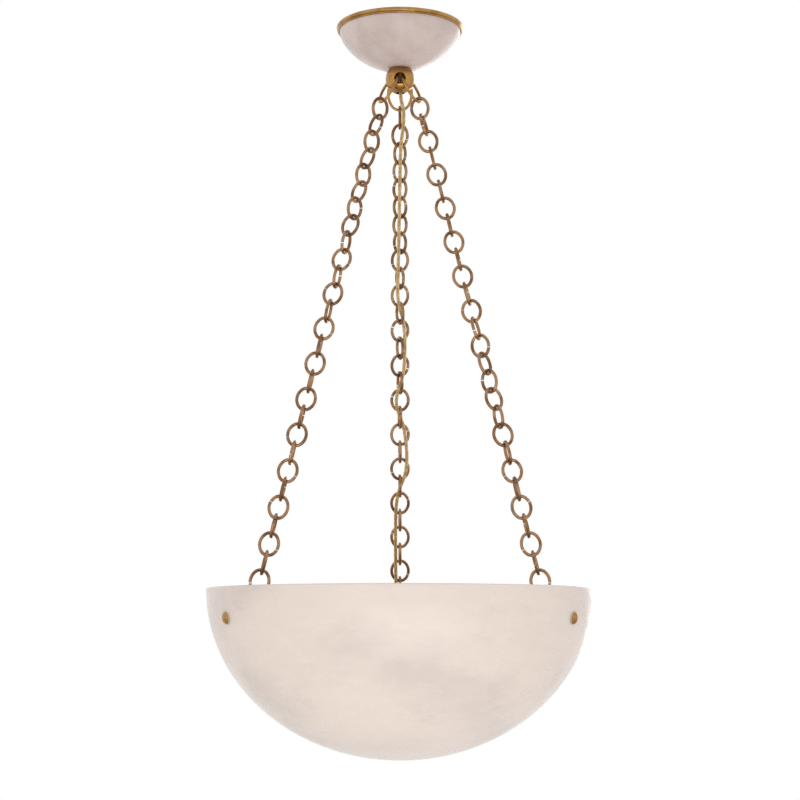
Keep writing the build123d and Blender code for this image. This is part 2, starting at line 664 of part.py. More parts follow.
def drum_bolt():
    """The bolt up through the disc and the drum's floor, its round head below."""
    head = cylinder(BOLT_HEAD_RADIUS, disc_low - BOLT_HEAD_HEIGHT, disc_low)
    head = fillet(head.edges().group_by(Axis.Z)[0], 2.0)
    return head + cylinder(BOLT_RADIUS, disc_low - 1, disc_top + DRUM_WALL + 8)


def drum_nut():
    floor = disc_top + DRUM_WALL
    return hex_nut(6.2, BOLT_RADIUS + THREAD_PLAY, floor, floor + 5)


def bushing_place():
    """The frame of the cord's entry: in the drum's rear wall, +Z out of the drum."""
    wall = DRUM_RADIUS - DRUM_WALL / 2
    here = Vector(wall, 0, lamp_meet + BUSHING_RISE)
    return Rot(0, 0, CHAINS["rear"]) * Plane(origin=here, x_dir=(0, 1, 0), z_dir=(1, 0, 0)).location


def cord_bushing():
    """The grommet in the drum's wall."""
    reach = DRUM_WALL + 2.5
    flange = tube(BUSHING_RADIUS + 1.6, BUSHING_RADIUS - 1, reach - 1.4, reach)
    body = cylinder(BUSHING_RADIUS, -reach, reach) + flange
    return bushing_place() * (body - cylinder(CORD_DIAMETER / 2 + 0.2, -2 * reach, 2 * reach))


def splice():
    """The closed-end connector in the drum that joins the cord to the lamps' leads."""
    body = cylinder(PLUG_RADIUS, lamp_meet - PLUG_HEIGHT / 2, lamp_meet + BUSHING_RISE + 4)
    return fillet(body.edges().filter_by(GeomType.CIRCLE), 1.5)


def socket_nipples():
    """Three short tubes that screw the sockets to the drum's bosses."""
    place = tube(NIPPLE_RADIUS, NIPPLE_BORE, BOSS_INNER - NUT_HEIGHT - 1, BOSS_OUTER + 7)
    return group([lamp_place(azimuth) * place for azimuth in LAMPS])


def socket_nuts():
    nut = hex_nut(NUT_RADIUS - 1.5, NIPPLE_RADIUS + THREAD_PLAY, BOSS_INNER - NUT_HEIGHT, BOSS_INNER)
    return group([lamp_place(azimuth) * nut for azimuth in LAMPS])


def lamp_leads():
    """The insulated leads, straight from the connector through each nipple to its socket."""
    start = PLUG_RADIUS / cos(radians(LAMP_RISE)) + 0.5
    lead = cylinder(LEAD_RADIUS, start, BOSS_OUTER + 11)
    return group([lamp_place(azimuth) * lead for azimuth in LAMPS])


socket_floor = BOSS_OUTER + SOCKET_LENGTH - SOCKET_CAVITY_DEPTH
socket_mouth = BOSS_OUTER + SOCKET_LENGTH
cap_start = socket_mouth - CAP_LENGTH


def socket_body():
    """A lampholder's moulded body: a domed back on the boss and a deep round cavity."""
    back = BOSS_OUTER
    body = cylinder(SOCKET_RADIUS, back, socket_mouth)
    body = chamfer(body.edges().group_by(Axis.Z)[0], SOCKET_RADIUS - BOSS_RADIUS - 0.5)
    body -= cylinder(SOCKET_CAVITY_RADIUS, socket_floor, socket_mouth + 1)
    body -= cylinder(NIPPLE_RADIUS + THREAD_PLAY, back - 1, back + 7)
    return body - cylinder(LEAD_RADIUS + 0.4, back, back + SOCKET_LENGTH)


def socket_shell():
    """The brass screw shell in a socket, threads drawn as a plain tube, with its floor."""
    top = socket_mouth - 1.5
    wall = tube(SHELL_RADIUS, SHELL_RADIUS - SHELL_WALL, top - SHELL_LENGTH, top)
    floor = tube(SHELL_RADIUS - 0.2, 6.0, socket_floor, socket_floor + SHELL_WALL)
    return wall + tube(SHELL_RADIUS, SHELL_RADIUS - SHELL_WALL, socket_floor, top) + floor


def socket_contact():
    """The sprung tongue at the bottom of a socket that meets the bulb's tip."""
    base = cylinder(3.6, socket_floor, socket_floor + 0.8)
    tongue = Cone(3.0, 1.6, cap_start - 3.1 - socket_floor, align=STANDING)
    return base + Pos(0, 0, socket_floor + 0.7) * tongue


def bulb_cap():
    """A bulb's screw cap, threads drawn as a plain thin tube with a sloping end."""
    top = socket_mouth + 0.6
    inside = CAP_RADIUS - CAP_WALL
    neck = TIP_RADIUS + 0.3
    outline = Polyline(
        (neck, cap_start + 0.2), (CAP_RADIUS, cap_start + 3.4), (CAP_RADIUS, top), (inside, top),
        (inside, cap_start + 3.8), (neck, cap_start + 0.9), (neck, cap_start + 0.2),
    )
    return turned(outline)


def bulb_tip():
    """A bulb's round insulator with its contact."""
    return cylinder(4.5, cap_start - 2, cap_start + 0.5) + cylinder(TIP_RADIUS, cap_start, cap_start + 1.2)


def bulb_glass():
    """A bulb's frosted envelope: neck, shoulder and round end, thin all over."""
    base = socket_mouth + 0.6
    tip = base + BULB_LENGTH
    round_middle = tip - BULB_RADIUS

    def envelope(shrink):
        neck = BULB_NECK_RADIUS - shrink
        body = BULB_RADIUS - shrink
        blend = (neck + 3.2, base + 14)
        return (
            Line((neck, base), (neck, base + 4))
            + Spline((neck, base + 4), blend, (body, round_middle), tangents=[(0, 1), (0, 1)])
            + CenterArc((0, round_middle), body, 0, 90)
        )

    def filled_face(shrink):
        return make_face(
            envelope(shrink) + Polyline((0, tip - shrink), (0, base), (BULB_NECK_RADIUS - shrink, base))
        )

    return revolve(Plane.XZ * (filled_face(0) - filled_face(BULB_WALL)), Axis.Z)


# ------------------------------------------------------------------ cord


def rear(point):
    """A point at azimuth 0 turned to the rear chain's azimuth."""
    return point.rotate(Axis.Z, CHAINS["rear"])


def cord_tube(name, points):
    """A round tube along straight runs joined by tangent arcs, each as large as its two runs allow."""
    points = [Vector(*p) for p in points]
    runs = [(b - a).length for a, b in zip(points, points[1:])]
    radii = []
    for k in range(1, len(points) - 1):
        turn = radians((points[k] - points[k - 1]).get_angle(points[k + 1] - points[k]))
        radii.append(min(CORD_BEND, 0.45 * min(runs[k - 1], runs[k]) / tan(turn / 2)))
    path = FilletPolyline(*points, radius=radii) if radii else Line(*points)
    start = Plane(origin=path @ 0, z_dir=path % 0)
    body = sweep(start * Circle(CORD_DIAMETER / 2), path=path)
    share = body.volume / (pi * CORD_DIAMETER**2 / 4 * path.length)
    print(f"{name}: length {path.length:.1f}, volume share {share:.4f}")
    return body


def cord_points():
    """The cord's route in four stretches that meet face to face, from the terminal block to the drum."""
    block_top = -BRACKET_DEPTH + BRACKET_THICKNESS + TERMINAL_SIZE[2]
    mouth_out = hub_mouth + 3.0
    over_block = (TERMINAL_OFFSET, 0, -CORD_TOP)
    cup = [(TERMINAL_OFFSET, 0, block_top), over_block, (0, 0, -CORD_TOP), (0, 0, mouth_out)]
    head = [
        Vector(rearward, -side, hub_mouth - drop)
        for (side, rearward), drop in zip(CORD_HEAD, CORD_NECK_DROP)
    ]
    weave = [on_chain(links, -side, outward) for links, side, outward in CORD_WEAVE]
    joint = (weave[0] + weave[1]) * 0.5
    neck = [(0, 0, mouth_out)] + [rear(p) for p in head + [weave[0], joint]]

    def on_arm(share):
        (r1, z1), (r0, z0) = arm_line()[1:3]
        slope = atan2(z0 - z1, r0 - r1)
        middle = Vector(r0 + (r1 - r0) * share, 0, z0 + (z1 - z0) * share)
        return middle + Vector(-sin(slope), 0, cos(slope)) * CORD_LIFT

    side = CORD_WEAVE[-1][1]
    tail = [
        Vector(radius, -side * (1 - CORD_TAIL_DRIFT * k), rim - depth)
        for k, (radius, depth) in enumerate(CORD_TAIL)
    ]
    leave = weave[-1] + (tail[0] - weave[-1]) * CORD_LEAVE
    run = [rear(p) for p in [joint] + weave[1:] + [leave]]
    level = lamp_meet + BUSHING_RISE
    tail = [leave] + tail + [on_arm(share) for share in CORD_ON_ARM]
    tail += [Vector(CORD_LEVEL_RADIUS, 0, level), Vector(PLUG_RADIUS, 0, level)]
    tail = [rear(p) for p in tail]
    return {"cup": cup, "neck": neck, "run": run, "tail": tail}


def cord_clips():
    """Two saddles that hold the cord down on the rear arm."""
    (r1, z1), (r0, z0) = arm_line()[1:3]
    slope = atan2(z0 - z1, r0 - r1)
    clips = []
    for share in CLIP_PLACES:
        place = Pos(r0 + (r1 - r0) * share, 0, z0 + (z1 - z0) * share) * Rot(0, -degrees(slope), 0)
        high = CORD_LIFT + CORD_DIAMETER / 2 + 1.4
        tall = high + CLIP_UNDER
        middle = Pos(0, 0, (high - CLIP_UNDER) / 2)
        band = middle * Box(CLIP_WIDTH, ARM_WIDTH + 2 * CLIP_WALL, tall)
        hole = middle * Box(CLIP_WIDTH + 1, ARM_WIDTH + 0.2, tall - 2 * CLIP_WALL)
        clips.append(at_azimuth(CHAINS["rear"], place * (band - hole)))
    return group(clips)


# ------------------------------------------------------------------ build every node

link = open_link()
nodes = {
    "cup_stone": cup_stone(),
    "cup_trim": cup_trim(),
    "ceiling_bracket": bracket(),
    "ground_screw": ground_screw(),
    "nipple": nipple(),
    "nipple_nuts": nipple_nuts(),
    "cup_seal": cup_seal(),
    "terminal_block": terminal_block(),
    "terminal_screws": terminal_screws(),
    "hub": hub(),
    "bowl": bowl(),
    "anchor_screws": group([anchor_place(a) * anchor_screw() for a in CHAINS.values()]),
    "anchor_washers": group([anchor_place(a) * anchor_washer() for a in CHAINS.values()]),
    "anchor_pads": group([anchor_place(a) * anchor_pad() for a in CHAINS.values()]),
    "eye_nuts": group([anchor_place(a) * eye_nut() for a in CHAINS.values()]),
    "lamp_carrier": carrier(),
    "drum": drum(),
    "drum_lid": drum_lid(),
    "drum_bolt": drum_bolt(),
    "drum_nut": drum_nut(),
    "cord_bushing": cord_bushing(),
    "cord_clips": cord_clips(),
    "splice": splice(),
    "socket_nipples": socket_nipples(),
    "socket_nuts": socket_nuts(),
    "lamp_leads": lamp_leads(),
}
for side, azimuth in CHAINS.items():
    places = link_places(side)
    last = -1 if side == "left" else len(places)
    nodes[f"hub_ring_{side}"] = hub_ring(azimuth)
    nodes[f"top_link_{side}"] = places[0] * link
    nodes[f"chain_{side}"] = group([place * link for place in places[1:last]])
    if side == "left":
        nodes["end_link_left"] = places[-1] * link
for number, azimuth in enumerate(LAMPS, 1):
    place = lamp_place(azimuth)
    nodes[f"socket_{number}"] = place * socket_body()
    nodes[f"socket_shell_{number}"] = place * socket_shell()
    nodes[f"socket_contact_{number}"] = place * socket_contact()
    nodes[f"bulb_{number}_tip"] = place * bulb_tip()
    nodes[f"bulb_{number}_cap"] = place * bulb_cap()
    nodes[f"bulb_{number}_glass"] = place * bulb_glass()
for stretch, points in cord_points().items():
    nodes[f"cord_{stretch}"] = cord_tube(stretch, points)

for name, shape in nodes.items():
    export_step(shape, f"parts/{name}.step")
print(f"{len(nodes)} nodes, {link_count} links a chain, pitch {pitch:.3f} mm, lean {degrees(lean):.2f}")
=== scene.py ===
"""Dresses the alabaster bowl pendant: chains and rings, stone, aged brass, a flat cord and the lamps.

Metres. The origin is the middle of the ceiling plane, +Z is up and the front is towards -Y.
"""

from math import asin, atan2, cos, pi, radians, sin

import bmesh
import bpy
from mathutils import Matrix, Vector


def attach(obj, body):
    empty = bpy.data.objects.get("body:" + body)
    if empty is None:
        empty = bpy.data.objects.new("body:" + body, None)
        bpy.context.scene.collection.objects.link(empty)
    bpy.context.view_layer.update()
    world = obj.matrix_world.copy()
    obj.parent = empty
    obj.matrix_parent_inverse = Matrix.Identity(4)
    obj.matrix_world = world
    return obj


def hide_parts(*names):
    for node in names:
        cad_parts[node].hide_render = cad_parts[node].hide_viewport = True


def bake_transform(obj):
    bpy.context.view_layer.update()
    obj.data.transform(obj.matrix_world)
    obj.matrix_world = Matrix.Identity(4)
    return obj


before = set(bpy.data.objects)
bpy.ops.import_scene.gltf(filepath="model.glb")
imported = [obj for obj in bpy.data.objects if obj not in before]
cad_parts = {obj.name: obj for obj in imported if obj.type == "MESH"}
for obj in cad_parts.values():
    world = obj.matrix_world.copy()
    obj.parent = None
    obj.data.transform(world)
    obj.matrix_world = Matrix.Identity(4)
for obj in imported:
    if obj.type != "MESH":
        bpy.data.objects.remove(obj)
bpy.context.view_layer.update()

bl_info = {
    "name": "Bowl pendant",
    "version": (1, 0, 0),
    "blender": (4, 5, 0),
    "location": "View3D > Sidebar > Pendant",
    "description": "Builds the pieces, finishes and studio of a stone bowl pendant on three chains",
    "category": "Object",
}

MM = 0.001
MERGE = 1e-6                                    # points closer than this become one

# ------------------------------------------------------------------ places that the pieces share

AZIMUTHS = {"left": 210.0, "right": 330.0, "rear": 90.0}
LAMPS = {1: 30.0, 2: 150.0, 3: 270.0}
RIM = -610.0 * MM
BOWL_WALL = 7.0 * MM
BOWL_FLOOR = 9.0 * MM
RIM_ROUNDING = 1.8 * MM
HUB_TOP = -47.666 * MM
RING_FOOT = (22.6 * MM, HUB_TOP - 39.8 * MM)    # radius and height of a hub ring's lowest point
RING_LEAN = radians(27.0)
RING_HALF_LENGTH = 18.0 * MM                    # these three to the middle of the wire
RING_HALF_WIDTH = 12.85 * MM
RING_CROWN = 11.0 * MM
CHAIN_LEAN = radians(15.2535)
LINK_COUNT = 29
PITCH = 19.5658 * MM
FIRST_LINK = 8.0829 * MM                        # ring foot to the first link's middle
PLAY = 0.3 * MM
ANCHOR = (199.693 * MM, RIM - 32.0 * MM)
ANCHOR_DIP = radians(11.773)
PAD_START = 7.322 * MM                          # these run inward from the bowl's outer face
BARREL_START = 10.822 * MM
EYE_MIDDLE = 28.022 * MM
LAMP_MEET = RIM - 103.0 * MM
LAMP_RISE = radians(20.0)
CAP_START = 54.0 * MM                           # these run out along a lamp's axis
SOCKET_MOUTH = 78.0 * MM

# sizes of the screws, washers and eyes that fasten the chains
SCREW_SEAT = 1.05 * MM                          # these two run outward from the bowl's outer face
WASHER_START = 0.25 * MM
WASHER_RADIUS = 6.4 * MM
PAD_RADIUS = 7.5 * MM
PAD_THICKNESS = 1.5 * MM
WASHER_BORE = 2.6 * MM
WASHER_ROUNDING = 0.2 * MM
HEAD_EDGE = 0.9 * MM                            # the head's seat up to where its dome starts
HEAD_BALL = 8.46 * MM                           # radius of the dome
HEAD_BALL_DROP = 5.76 * MM                      # of the ball's middle below the dome's start
HEAD_DOME = (42.9, 47.1)                        # its start and turn, in degrees
SHANK_LENGTH = 9.0 * MM                         # inside the eye's barrel
EYE_RADIUS = 5.2 * MM
EYE_WIRE = 3.2 * MM
EYE_TO_NECK = 5.7 * MM

# outlines of those pieces, as (radius, height) in mm from the end or seat that each is named after
SHANK_END = ((0.0, 0.0), (2.2, 0.0), (2.5, 0.5))
HEAD_RIM = ((6.0, 0.0), (6.2, 0.2), (6.2, 0.75))
EYE_NECK = ((0.0, 0.0), (2.1, 0.0), (2.5, 1.0), (4.2, 2.0), (4.6, 2.5))
EYE_FOOT = ((4.6, -0.4), (4.2, 0.0), (2.6, 0.0), (2.6, -9.4), (0.0, -9.4))

# the moulding round the ceiling cup
TRIM_EDGE = 69.0 * MM
TRIM_INNER = 62.3 * MM
TRIM_SKIRT = 66.45 * MM
TRIM_SEAT = -4.2 * MM                           # the stone's top, under the moulding
TRIM_FOOT = -6.4 * MM
NOSE_RADIUS = 2.55 * MM
STEP_MIDDLE = (67.35 * MM, -5.6 * MM)
STEP_RADIUS = 0.8 * MM

# the bulbs, in mm
GLASS_LENGTH = 62.0
GLASS_BALL = 24.0
GLASS_NECK = 13.6
GLASS_NECK_INSIDE = 12.4
GLASS_NECK_LENGTH = 4.0
CAP_MEAN = 12.85                                # radius halfway up the thread
CAP_LIP = 13.2
CAP_INSIDE = 12.0
CAP_END = 6.2
CAP_OVERLAP = 0.6                               # of the cap past the socket's mouth
THREAD_START = 3.4                              # above the cap's end
THREAD_STOP = 1.5                               # below the socket's mouth
THREAD_DEPTH = 0.33                             # of crests and roots from the mean radius
THREAD_TURNS = 5

# how finely round shapes are cut
BOWL_STEPS, BOWL_AROUND, RIM_STEPS = 48, 160, 6
LINK_AROUND, RING_AROUND = 14, 16
WIRE_STEP = radians(9)
SCREW_AROUND, EYE_AROUND, TRIM_AROUND, BULB_AROUND = 40, 32, 128, 48
DOME_STEPS, NOSE_STEPS, STEP_STEPS = 8, 14, 8
SWELL_STEPS, BALL_STEPS, THREAD_STEPS = 12, 12, 6

JOINT_RISE = 0.35                               # of a link's joint above its middle, in half lengths
WIRE_END_INSET, WIRE_END_SWELL = 0.12, 0.07     # of a cut wire's end, in wire thicknesses

# the roll of a chain's odd links out of the bowl's side plane, between knots of (link, degrees)
TWIST = {
    "left": ((1, 80), (7, 72), (9, 50), (15, 32), (25, 30), (29, 12)),
    "right": ((1, -98), (4, -115), (10, -118), (14, -100), (17, -75), (20, -38), (25, -30), (29, -12)),
    "rear": ((1, -90), (2, -58), (4, -45), (8, -42), (9, -25), (15, -18), (19, -3), (29, 0)),
}

# the cord's route in mm: in the cup, then (link, side, outward) down the rear chain, then in the bowl
CORD_IN_CUP = (
    (20.0, 0.0, -17.0), (20.0, 0.0, -7.0), (0.0, 0.0, -7.0), (0.0, 0.0, -79.75), (4.5, 9.0, -91.75),
)
CORD_WEAVE = (
    (1.55, 3.8, -7.0), (2.4, 1.0, -6.3), (4.0, 0.0, -5.9), (7.0, -0.9, -6.2), (9.5, -2.0, -5.4),
    (11.35, -2.9, -5.2), (12.65, 5.8, -2.3), (15.4, 5.2, -2.7), (16.6, -3.8, -4.6), (17.45, -4.2, -4.7),
    (18.55, 5.5, -4.7), (21.0, 9.2, -4.9), (22.5, -4.4, -4.5), (25.0, -5.2, -4.8), (28.0, -4.5, -4.2),
)
CORD_IN_BOWL = (
    (-4.5, 157.0, -632.0), (-3.15, 150.0, -656.0), (0.0, 139.74, -672.51), (0.0, 92.9, -698.52),
    (0.0, 56.0, -703.0), (0.0, 8.0, -703.0),
)
CORE_RADIUS = 1.02 * MM
CORE_OFFSET = 0.95 * MM                         # of each core's middle from the cord's middle

# lights: name, place, point aimed at, width and power
LIGHTS = (
    ("front softbox", (-0.8, -2.2, -0.85), (0.0, 0.0, -0.50), 1.6, 3.5),
    ("low front light", (0.12, -1.0, -1.50), (0.0, 0.0, -0.70), 1.4, 7.5),
    ("rear softbox", (0.8, 2.0, -0.1), (0.0, 0.0, -0.5), 1.6, 9.0),
)
FLOOR_RADIUS = 2.6
FLOOR_HEIGHT = -1.55
CAMERA_PLACE = (0.0, -2.040, -0.6623)
CAMERA_TILT = radians(97.04)
CAMERA_LENS = 86.9
SENSOR_WIDTH = 36.0
CAMERA_REACH = 50.0


def on_chain(link, side=0.0, outward=0.0):
    """A point beside a chain at azimuth 0, counted in links from the first one's middle."""
    down = FIRST_LINK + (link - 1) * PITCH
    return Vector((
        RING_FOOT[0] + down * sin(CHAIN_LEAN) + outward * cos(CHAIN_LEAN),
        side,
        RING_FOOT[1] - down * cos(CHAIN_LEAN) + outward * sin(CHAIN_LEAN),
    ))


def turned_to(azimuth):
    return Matrix.Rotation(radians(azimuth), 4, "Z")


def anchor_matrix(azimuth):
    """An anchor's frame: +Z out of the bowl, square to its wall, and +Y up."""
    out = Vector((cos(ANCHOR_DIP), 0, -sin(ANCHOR_DIP)))
    side = Vector((0, 1, 0))
    up = out.cross(side)
    axes = Matrix((side, up, out)).transposed().to_4x4()
    return turned_to(azimuth) @ Matrix.Translation((ANCHOR[0], 0, ANCHOR[1])) @ axes


def lamp_matrix(azimuth):
    """A lamp's frame: +Z out of its socket."""
    out = Vector((cos(LAMP_RISE), 0, sin(LAMP_RISE)))
    side = Vector((0, 1, 0))
    axes = Matrix((side, out.cross(side), out)).transposed().to_4x4()
    return turned_to(azimuth) @ Matrix.Translation((0, 0, LAMP_MEET)) @ axes


# ------------------------------------------------------------------ settings in the sidebar


class BowlSettings(bpy.types.PropertyGroup):
    """Sizes and colours of the two stone pieces."""

    radius: bpy.props.FloatProperty(
        name="Bowl radius", description="Outside radius of the bowl at its rim",
        default=203.0 * MM, unit="LENGTH")
    depth: bpy.props.FloatProperty(
        name="Bowl depth", description="Rim down to the bowl's lowest point",
        default=178.0 * MM, unit="LENGTH")
    pale: bpy.props.FloatVectorProperty(
        name="Pale stone", description="Colour of the bowl's clear alabaster", subtype="COLOR",
        default=(0.80, 0.695, 0.62), min=0.0, max=1.0)
    cloud: bpy.props.FloatVectorProperty(
        name="Clouded stone", description="Colour of the bowl's greyer clouds", subtype="COLOR",
        default=(0.70, 0.605, 0.555), min=0.0, max=1.0)
    cup: bpy.props.FloatVectorProperty(
        name="Cup stone", description="Colour of the ceiling cup's pinkish stone", subtype="COLOR",
        default=(0.64, 0.525, 0.48), min=0.0, max=1.0)


class ChainSettings(bpy.types.PropertyGroup):
    """Sizes and colours of the brass wire work."""

    link_wire: bpy.props.FloatProperty(
        name="Link wire", description="Thickness of a chain link's wire",
        default=3.4 * MM, unit="LENGTH")
    link_half_width: bpy.props.FloatProperty(
        name="Link half width", description="Middle of a link to its wire's middle",
        default=9.55 * MM, unit="LENGTH")
    link_crown: bpy.props.FloatProperty(
        name="Link crown", description="Radius of a link's round ends",
        default=8.3 * MM, unit="LENGTH")
    joint: bpy.props.FloatProperty(
        name="Joint", description="Gap where a link's wire closes", default=0.9 * MM, unit="LENGTH")
    ring_wire: bpy.props.FloatProperty(
        name="Ring wire", description="Thickness of a hub ring's wire",
        default=3.1 * MM, unit="LENGTH")
    brass: bpy.props.FloatVectorProperty(
        name="Hub brass", description="Colour of the hub, its rings and the cup's moulding",
        subtype="COLOR", default=(0.45, 0.250, 0.080), min=0.0, max=1.0)
    chain: bpy.props.FloatVectorProperty(
        name="Chain brass", description="Colour of the aged chains", subtype="COLOR",
        default=(0.37, 0.215, 0.115), min=0.0, max=1.0)


class StudioSettings(bpy.types.PropertyGroup):
    """The floor, the lights and the camera."""

    world: bpy.props.FloatProperty(
        name="World light", description="Strength of the even white light", default=0.78, min=0.0)
    lamp_scale: bpy.props.FloatProperty(
        name="Lamp scale", description="Multiplies the power of every studio light",
        default=1.0, min=0.0)
    floor: bpy.props.FloatVectorProperty(
        name="Floor", description="Colour of the floor", subtype="COLOR",
        default=(0.86, 0.86, 0.86), min=0.0, max=1.0)


# ------------------------------------------------------------------ shader helpers


def value_input(group, name, default):
    socket = group.interface.new_socket(name, in_out="INPUT", socket_type="NodeSocketFloat")
    socket.default_value = default


def mask_output(group):
    group.interface.new_socket("Mask", in_out="OUTPUT", socket_type="NodeSocketFloat")


def set_inputs(node, values):
    for name, value in values.items():
        node.inputs[name].default_value = value


def vector_math(nodes, operation):
    node = nodes.new("ShaderNodeVectorMath")
    node.operation = operation
    return node


def spread_nodes(tree):
    """Lays a tree's nodes out in rows, in the order they were made."""
    for index, node in enumerate(tree.nodes):
        node.location = (220 * (index % 6) - 800, 300 - 260 * (index // 6))


def clouds_group():
    """Soft warped clouds in object space: a mask from 0 to 1."""
    group = bpy.data.node_groups.new("Soft clouds", "ShaderNodeTree")
    for name, default in (("Scale", 8.0), ("Low", 0.4), ("High", 0.6), ("Warp", 0.05), ("Layers", 1.0)):
        value_input(group, name, default)
    mask_output(group)
    nodes, links = group.nodes, group.links
    given = nodes.new("NodeGroupInput")
    place = nodes.new("ShaderNodeTexCoord")
    bend = nodes.new("ShaderNodeTexNoise")
    set_inputs(bend, {"Scale": 5.0, "Detail": 2.0})
    shift = vector_math(nodes, "SCALE")
    moved = vector_math(nodes, "ADD")
    flat = nodes.new("ShaderNodeCombineXYZ")
    set_inputs(flat, {"X": 1.0, "Y": 1.0})
    layered = vector_math(nodes, "MULTIPLY")
    noise = nodes.new("ShaderNodeTexNoise")
    set_inputs(noise, {"Detail": 5.0, "Roughness": 0.55})
    remap = nodes.new("ShaderNodeMapRange")
    remap.interpolation_type = "SMOOTHSTEP"
    out = nodes.new("NodeGroupOutput")
    links.new(place.outputs["Object"], bend.inputs["Vector"])
    links.new(bend.outputs["Color"], shift.inputs[0])
    links.new(given.outputs["Warp"], shift.inputs["Scale"])
    links.new(place.outputs["Object"], moved.inputs[0])
    links.new(shift.outputs["Vector"], moved.inputs[1])
    links.new(given.outputs["Layers"], flat.inputs["Z"])
    links.new(moved.outputs["Vector"], layered.inputs[0])
    links.new(flat.outputs["Vector"], layered.inputs[1])
    links.new(layered.outputs["Vector"], noise.inputs["Vector"])
    links.new(given.outputs["Scale"], noise.inputs["Scale"])
    links.new(noise.outputs["Fac"], remap.inputs["Value"])
    links.new(given.outputs["Low"], remap.inputs["From Min"])
    links.new(given.outputs["High"], remap.inputs["From Max"])
    links.new(remap.outputs["Result"], out.inputs["Mask"])
    spread_nodes(group)
    return group


def specks_group():
    """Small dark specks in object space: a mask from 0 to 1."""
    group = bpy.data.node_groups.new("Fine specks", "ShaderNodeTree")
    value_input(group, "Scale", 300.0)
    value_input(group, "Cover", 0.3)
    mask_output(group)
    nodes, links = group.nodes, group.links
    given = nodes.new("NodeGroupInput")
    place = nodes.new("ShaderNodeTexCoord")
    noise = nodes.new("ShaderNodeTexNoise")
    noise.inputs["Detail"].default_value = 3.0
    remap = nodes.new("ShaderNodeMapRange")
    remap.inputs["From Max"].default_value = 0.75
    out = nodes.new("NodeGroupOutput")
    edge = nodes.new("ShaderNodeMath")
    edge.operation = "SUBTRACT"
    edge.inputs[0].default_value = 0.75
    links.new(place.outputs["Object"], noise.inputs["Vector"])
    links.new(given.outputs["Scale"], noise.inputs["Scale"])
    links.new(given.outputs["Cover"], edge.inputs[1])
    links.new(noise.outputs["Fac"], remap.inputs["Value"])
    links.new(edge.outputs["Value"], remap.inputs["From Min"])
    links.new(remap.outputs["Result"], out.inputs["Mask"])
    spread_nodes(group)
    return group


def shared_group(name, make):
    return bpy.data.node_groups.get(name) or make()


def placed_group(nodes, name, make, **settings):
    node = nodes.new("ShaderNodeGroup")
    node.node_tree = shared_group(name, make)
    set_inputs(node, settings)
    return node


def clouds(nodes, scale, low, high, warp, layers=1.0):
    """A node whose Mask output holds soft clouds. Layers above 1 flatten them."""
    return placed_group(
        nodes, "Soft clouds", clouds_group, Scale=scale, Low=low, High=high, Warp=warp, Layers=layers)


def specks_over(nodes, scale, cover):
    return placed_group(nodes, "Fine specks", specks_group, Scale=scale, Cover=cover)


def new_material(name):
    material = bpy.data.materials.new(name)
    material.use_nodes = True
    nodes, links = material.node_tree.nodes, material.node_tree.links
    return material, nodes, links, nodes["Principled BSDF"]


def mixed_colour(nodes, links, mask, first, second):
    """A colour that goes from first to second as a mask goes from 0 to 1."""
    mix = nodes.new("ShaderNodeMix")
    mix.data_type = "RGBA"
    links.new(mask, mix.inputs["Factor"])
    for socket, colour in ((mix.inputs["A"], first), (mix.inputs["B"], second)):
        if isinstance(colour, bpy.types.NodeSocket):
            links.new(colour, socket)
        else:
            socket.default_value = (*colour, 1.0)
    return mix.outputs["Result"]


def value_between(nodes, links, mask, low, high):
    """A value that goes from low to high as a mask goes from 0 to 1."""
    remap = nodes.new("ShaderNodeMapRange")
    remap.inputs["To Min"].default_value = low
    remap.inputs["To Max"].default_value = high
    links.new(mask, remap.inputs["Value"])
    return remap.outputs["Result"]


def bump_from(nodes, links, mask, strength, distance):
    bump = nodes.new("ShaderNodeBump")
    bump.inputs["Strength"].default_value = strength
    bump.inputs["Distance"].default_value = distance
    links.new(mask, bump.inputs["Height"])
    return bump.outputs["Normal"]


def tinted(colour, factor):
    return tuple(min(1.0, channel * factor) for channel in colour)


def polish_stone(nodes, links, skin, fine, weight, depth):
    """A polished stone's uneven gloss, and the light that soaks into it."""
    links.new(value_between(nodes, links, fine.outputs["Mask"], 0.24, 0.34), skin.inputs["Roughness"])
    set_inputs(skin, {
        "Subsurface Weight": weight, "Subsurface Radius": (1.0, 0.75, 0.55), "Subsurface Scale": depth,
        "IOR": 1.52,
    })


def alabaster(settings):
    """Polished pale stone: broad grey clouds, a few thin veins and light that soaks in a little."""
    material, nodes, links, skin = new_material("Alabaster")
    broad = clouds(nodes, scale=6.0, low=0.42, high=0.68, warp=0.05, layers=2.6)
    fine = clouds(nodes, scale=26.0, low=0.35, high=0.75, warp=0.03, layers=2.2)
    vein = clouds(nodes, scale=11.0, low=0.57, high=0.66, warp=0.09, layers=2.0)
    base = mixed_colour(nodes, links, broad.outputs["Mask"], settings.pale, settings.cloud)
    warmer = mixed_colour(nodes, links, value_between(nodes, links, fine.outputs["Mask"], 0.0, 0.35),
                          base, tinted(settings.pale, 1.05))
    veined = mixed_colour(nodes, links, value_between(nodes, links, vein.outputs["Mask"], 0.0, 0.14),
                          warmer, tinted(settings.cloud, 0.84))
    links.new(veined, skin.inputs["Base Color"])
    polish_stone(nodes, links, skin, fine, weight=0.18, depth=0.006)
    skin.inputs["Specular IOR Level"].default_value = 0.35
    spread_nodes(material.node_tree)
    return material


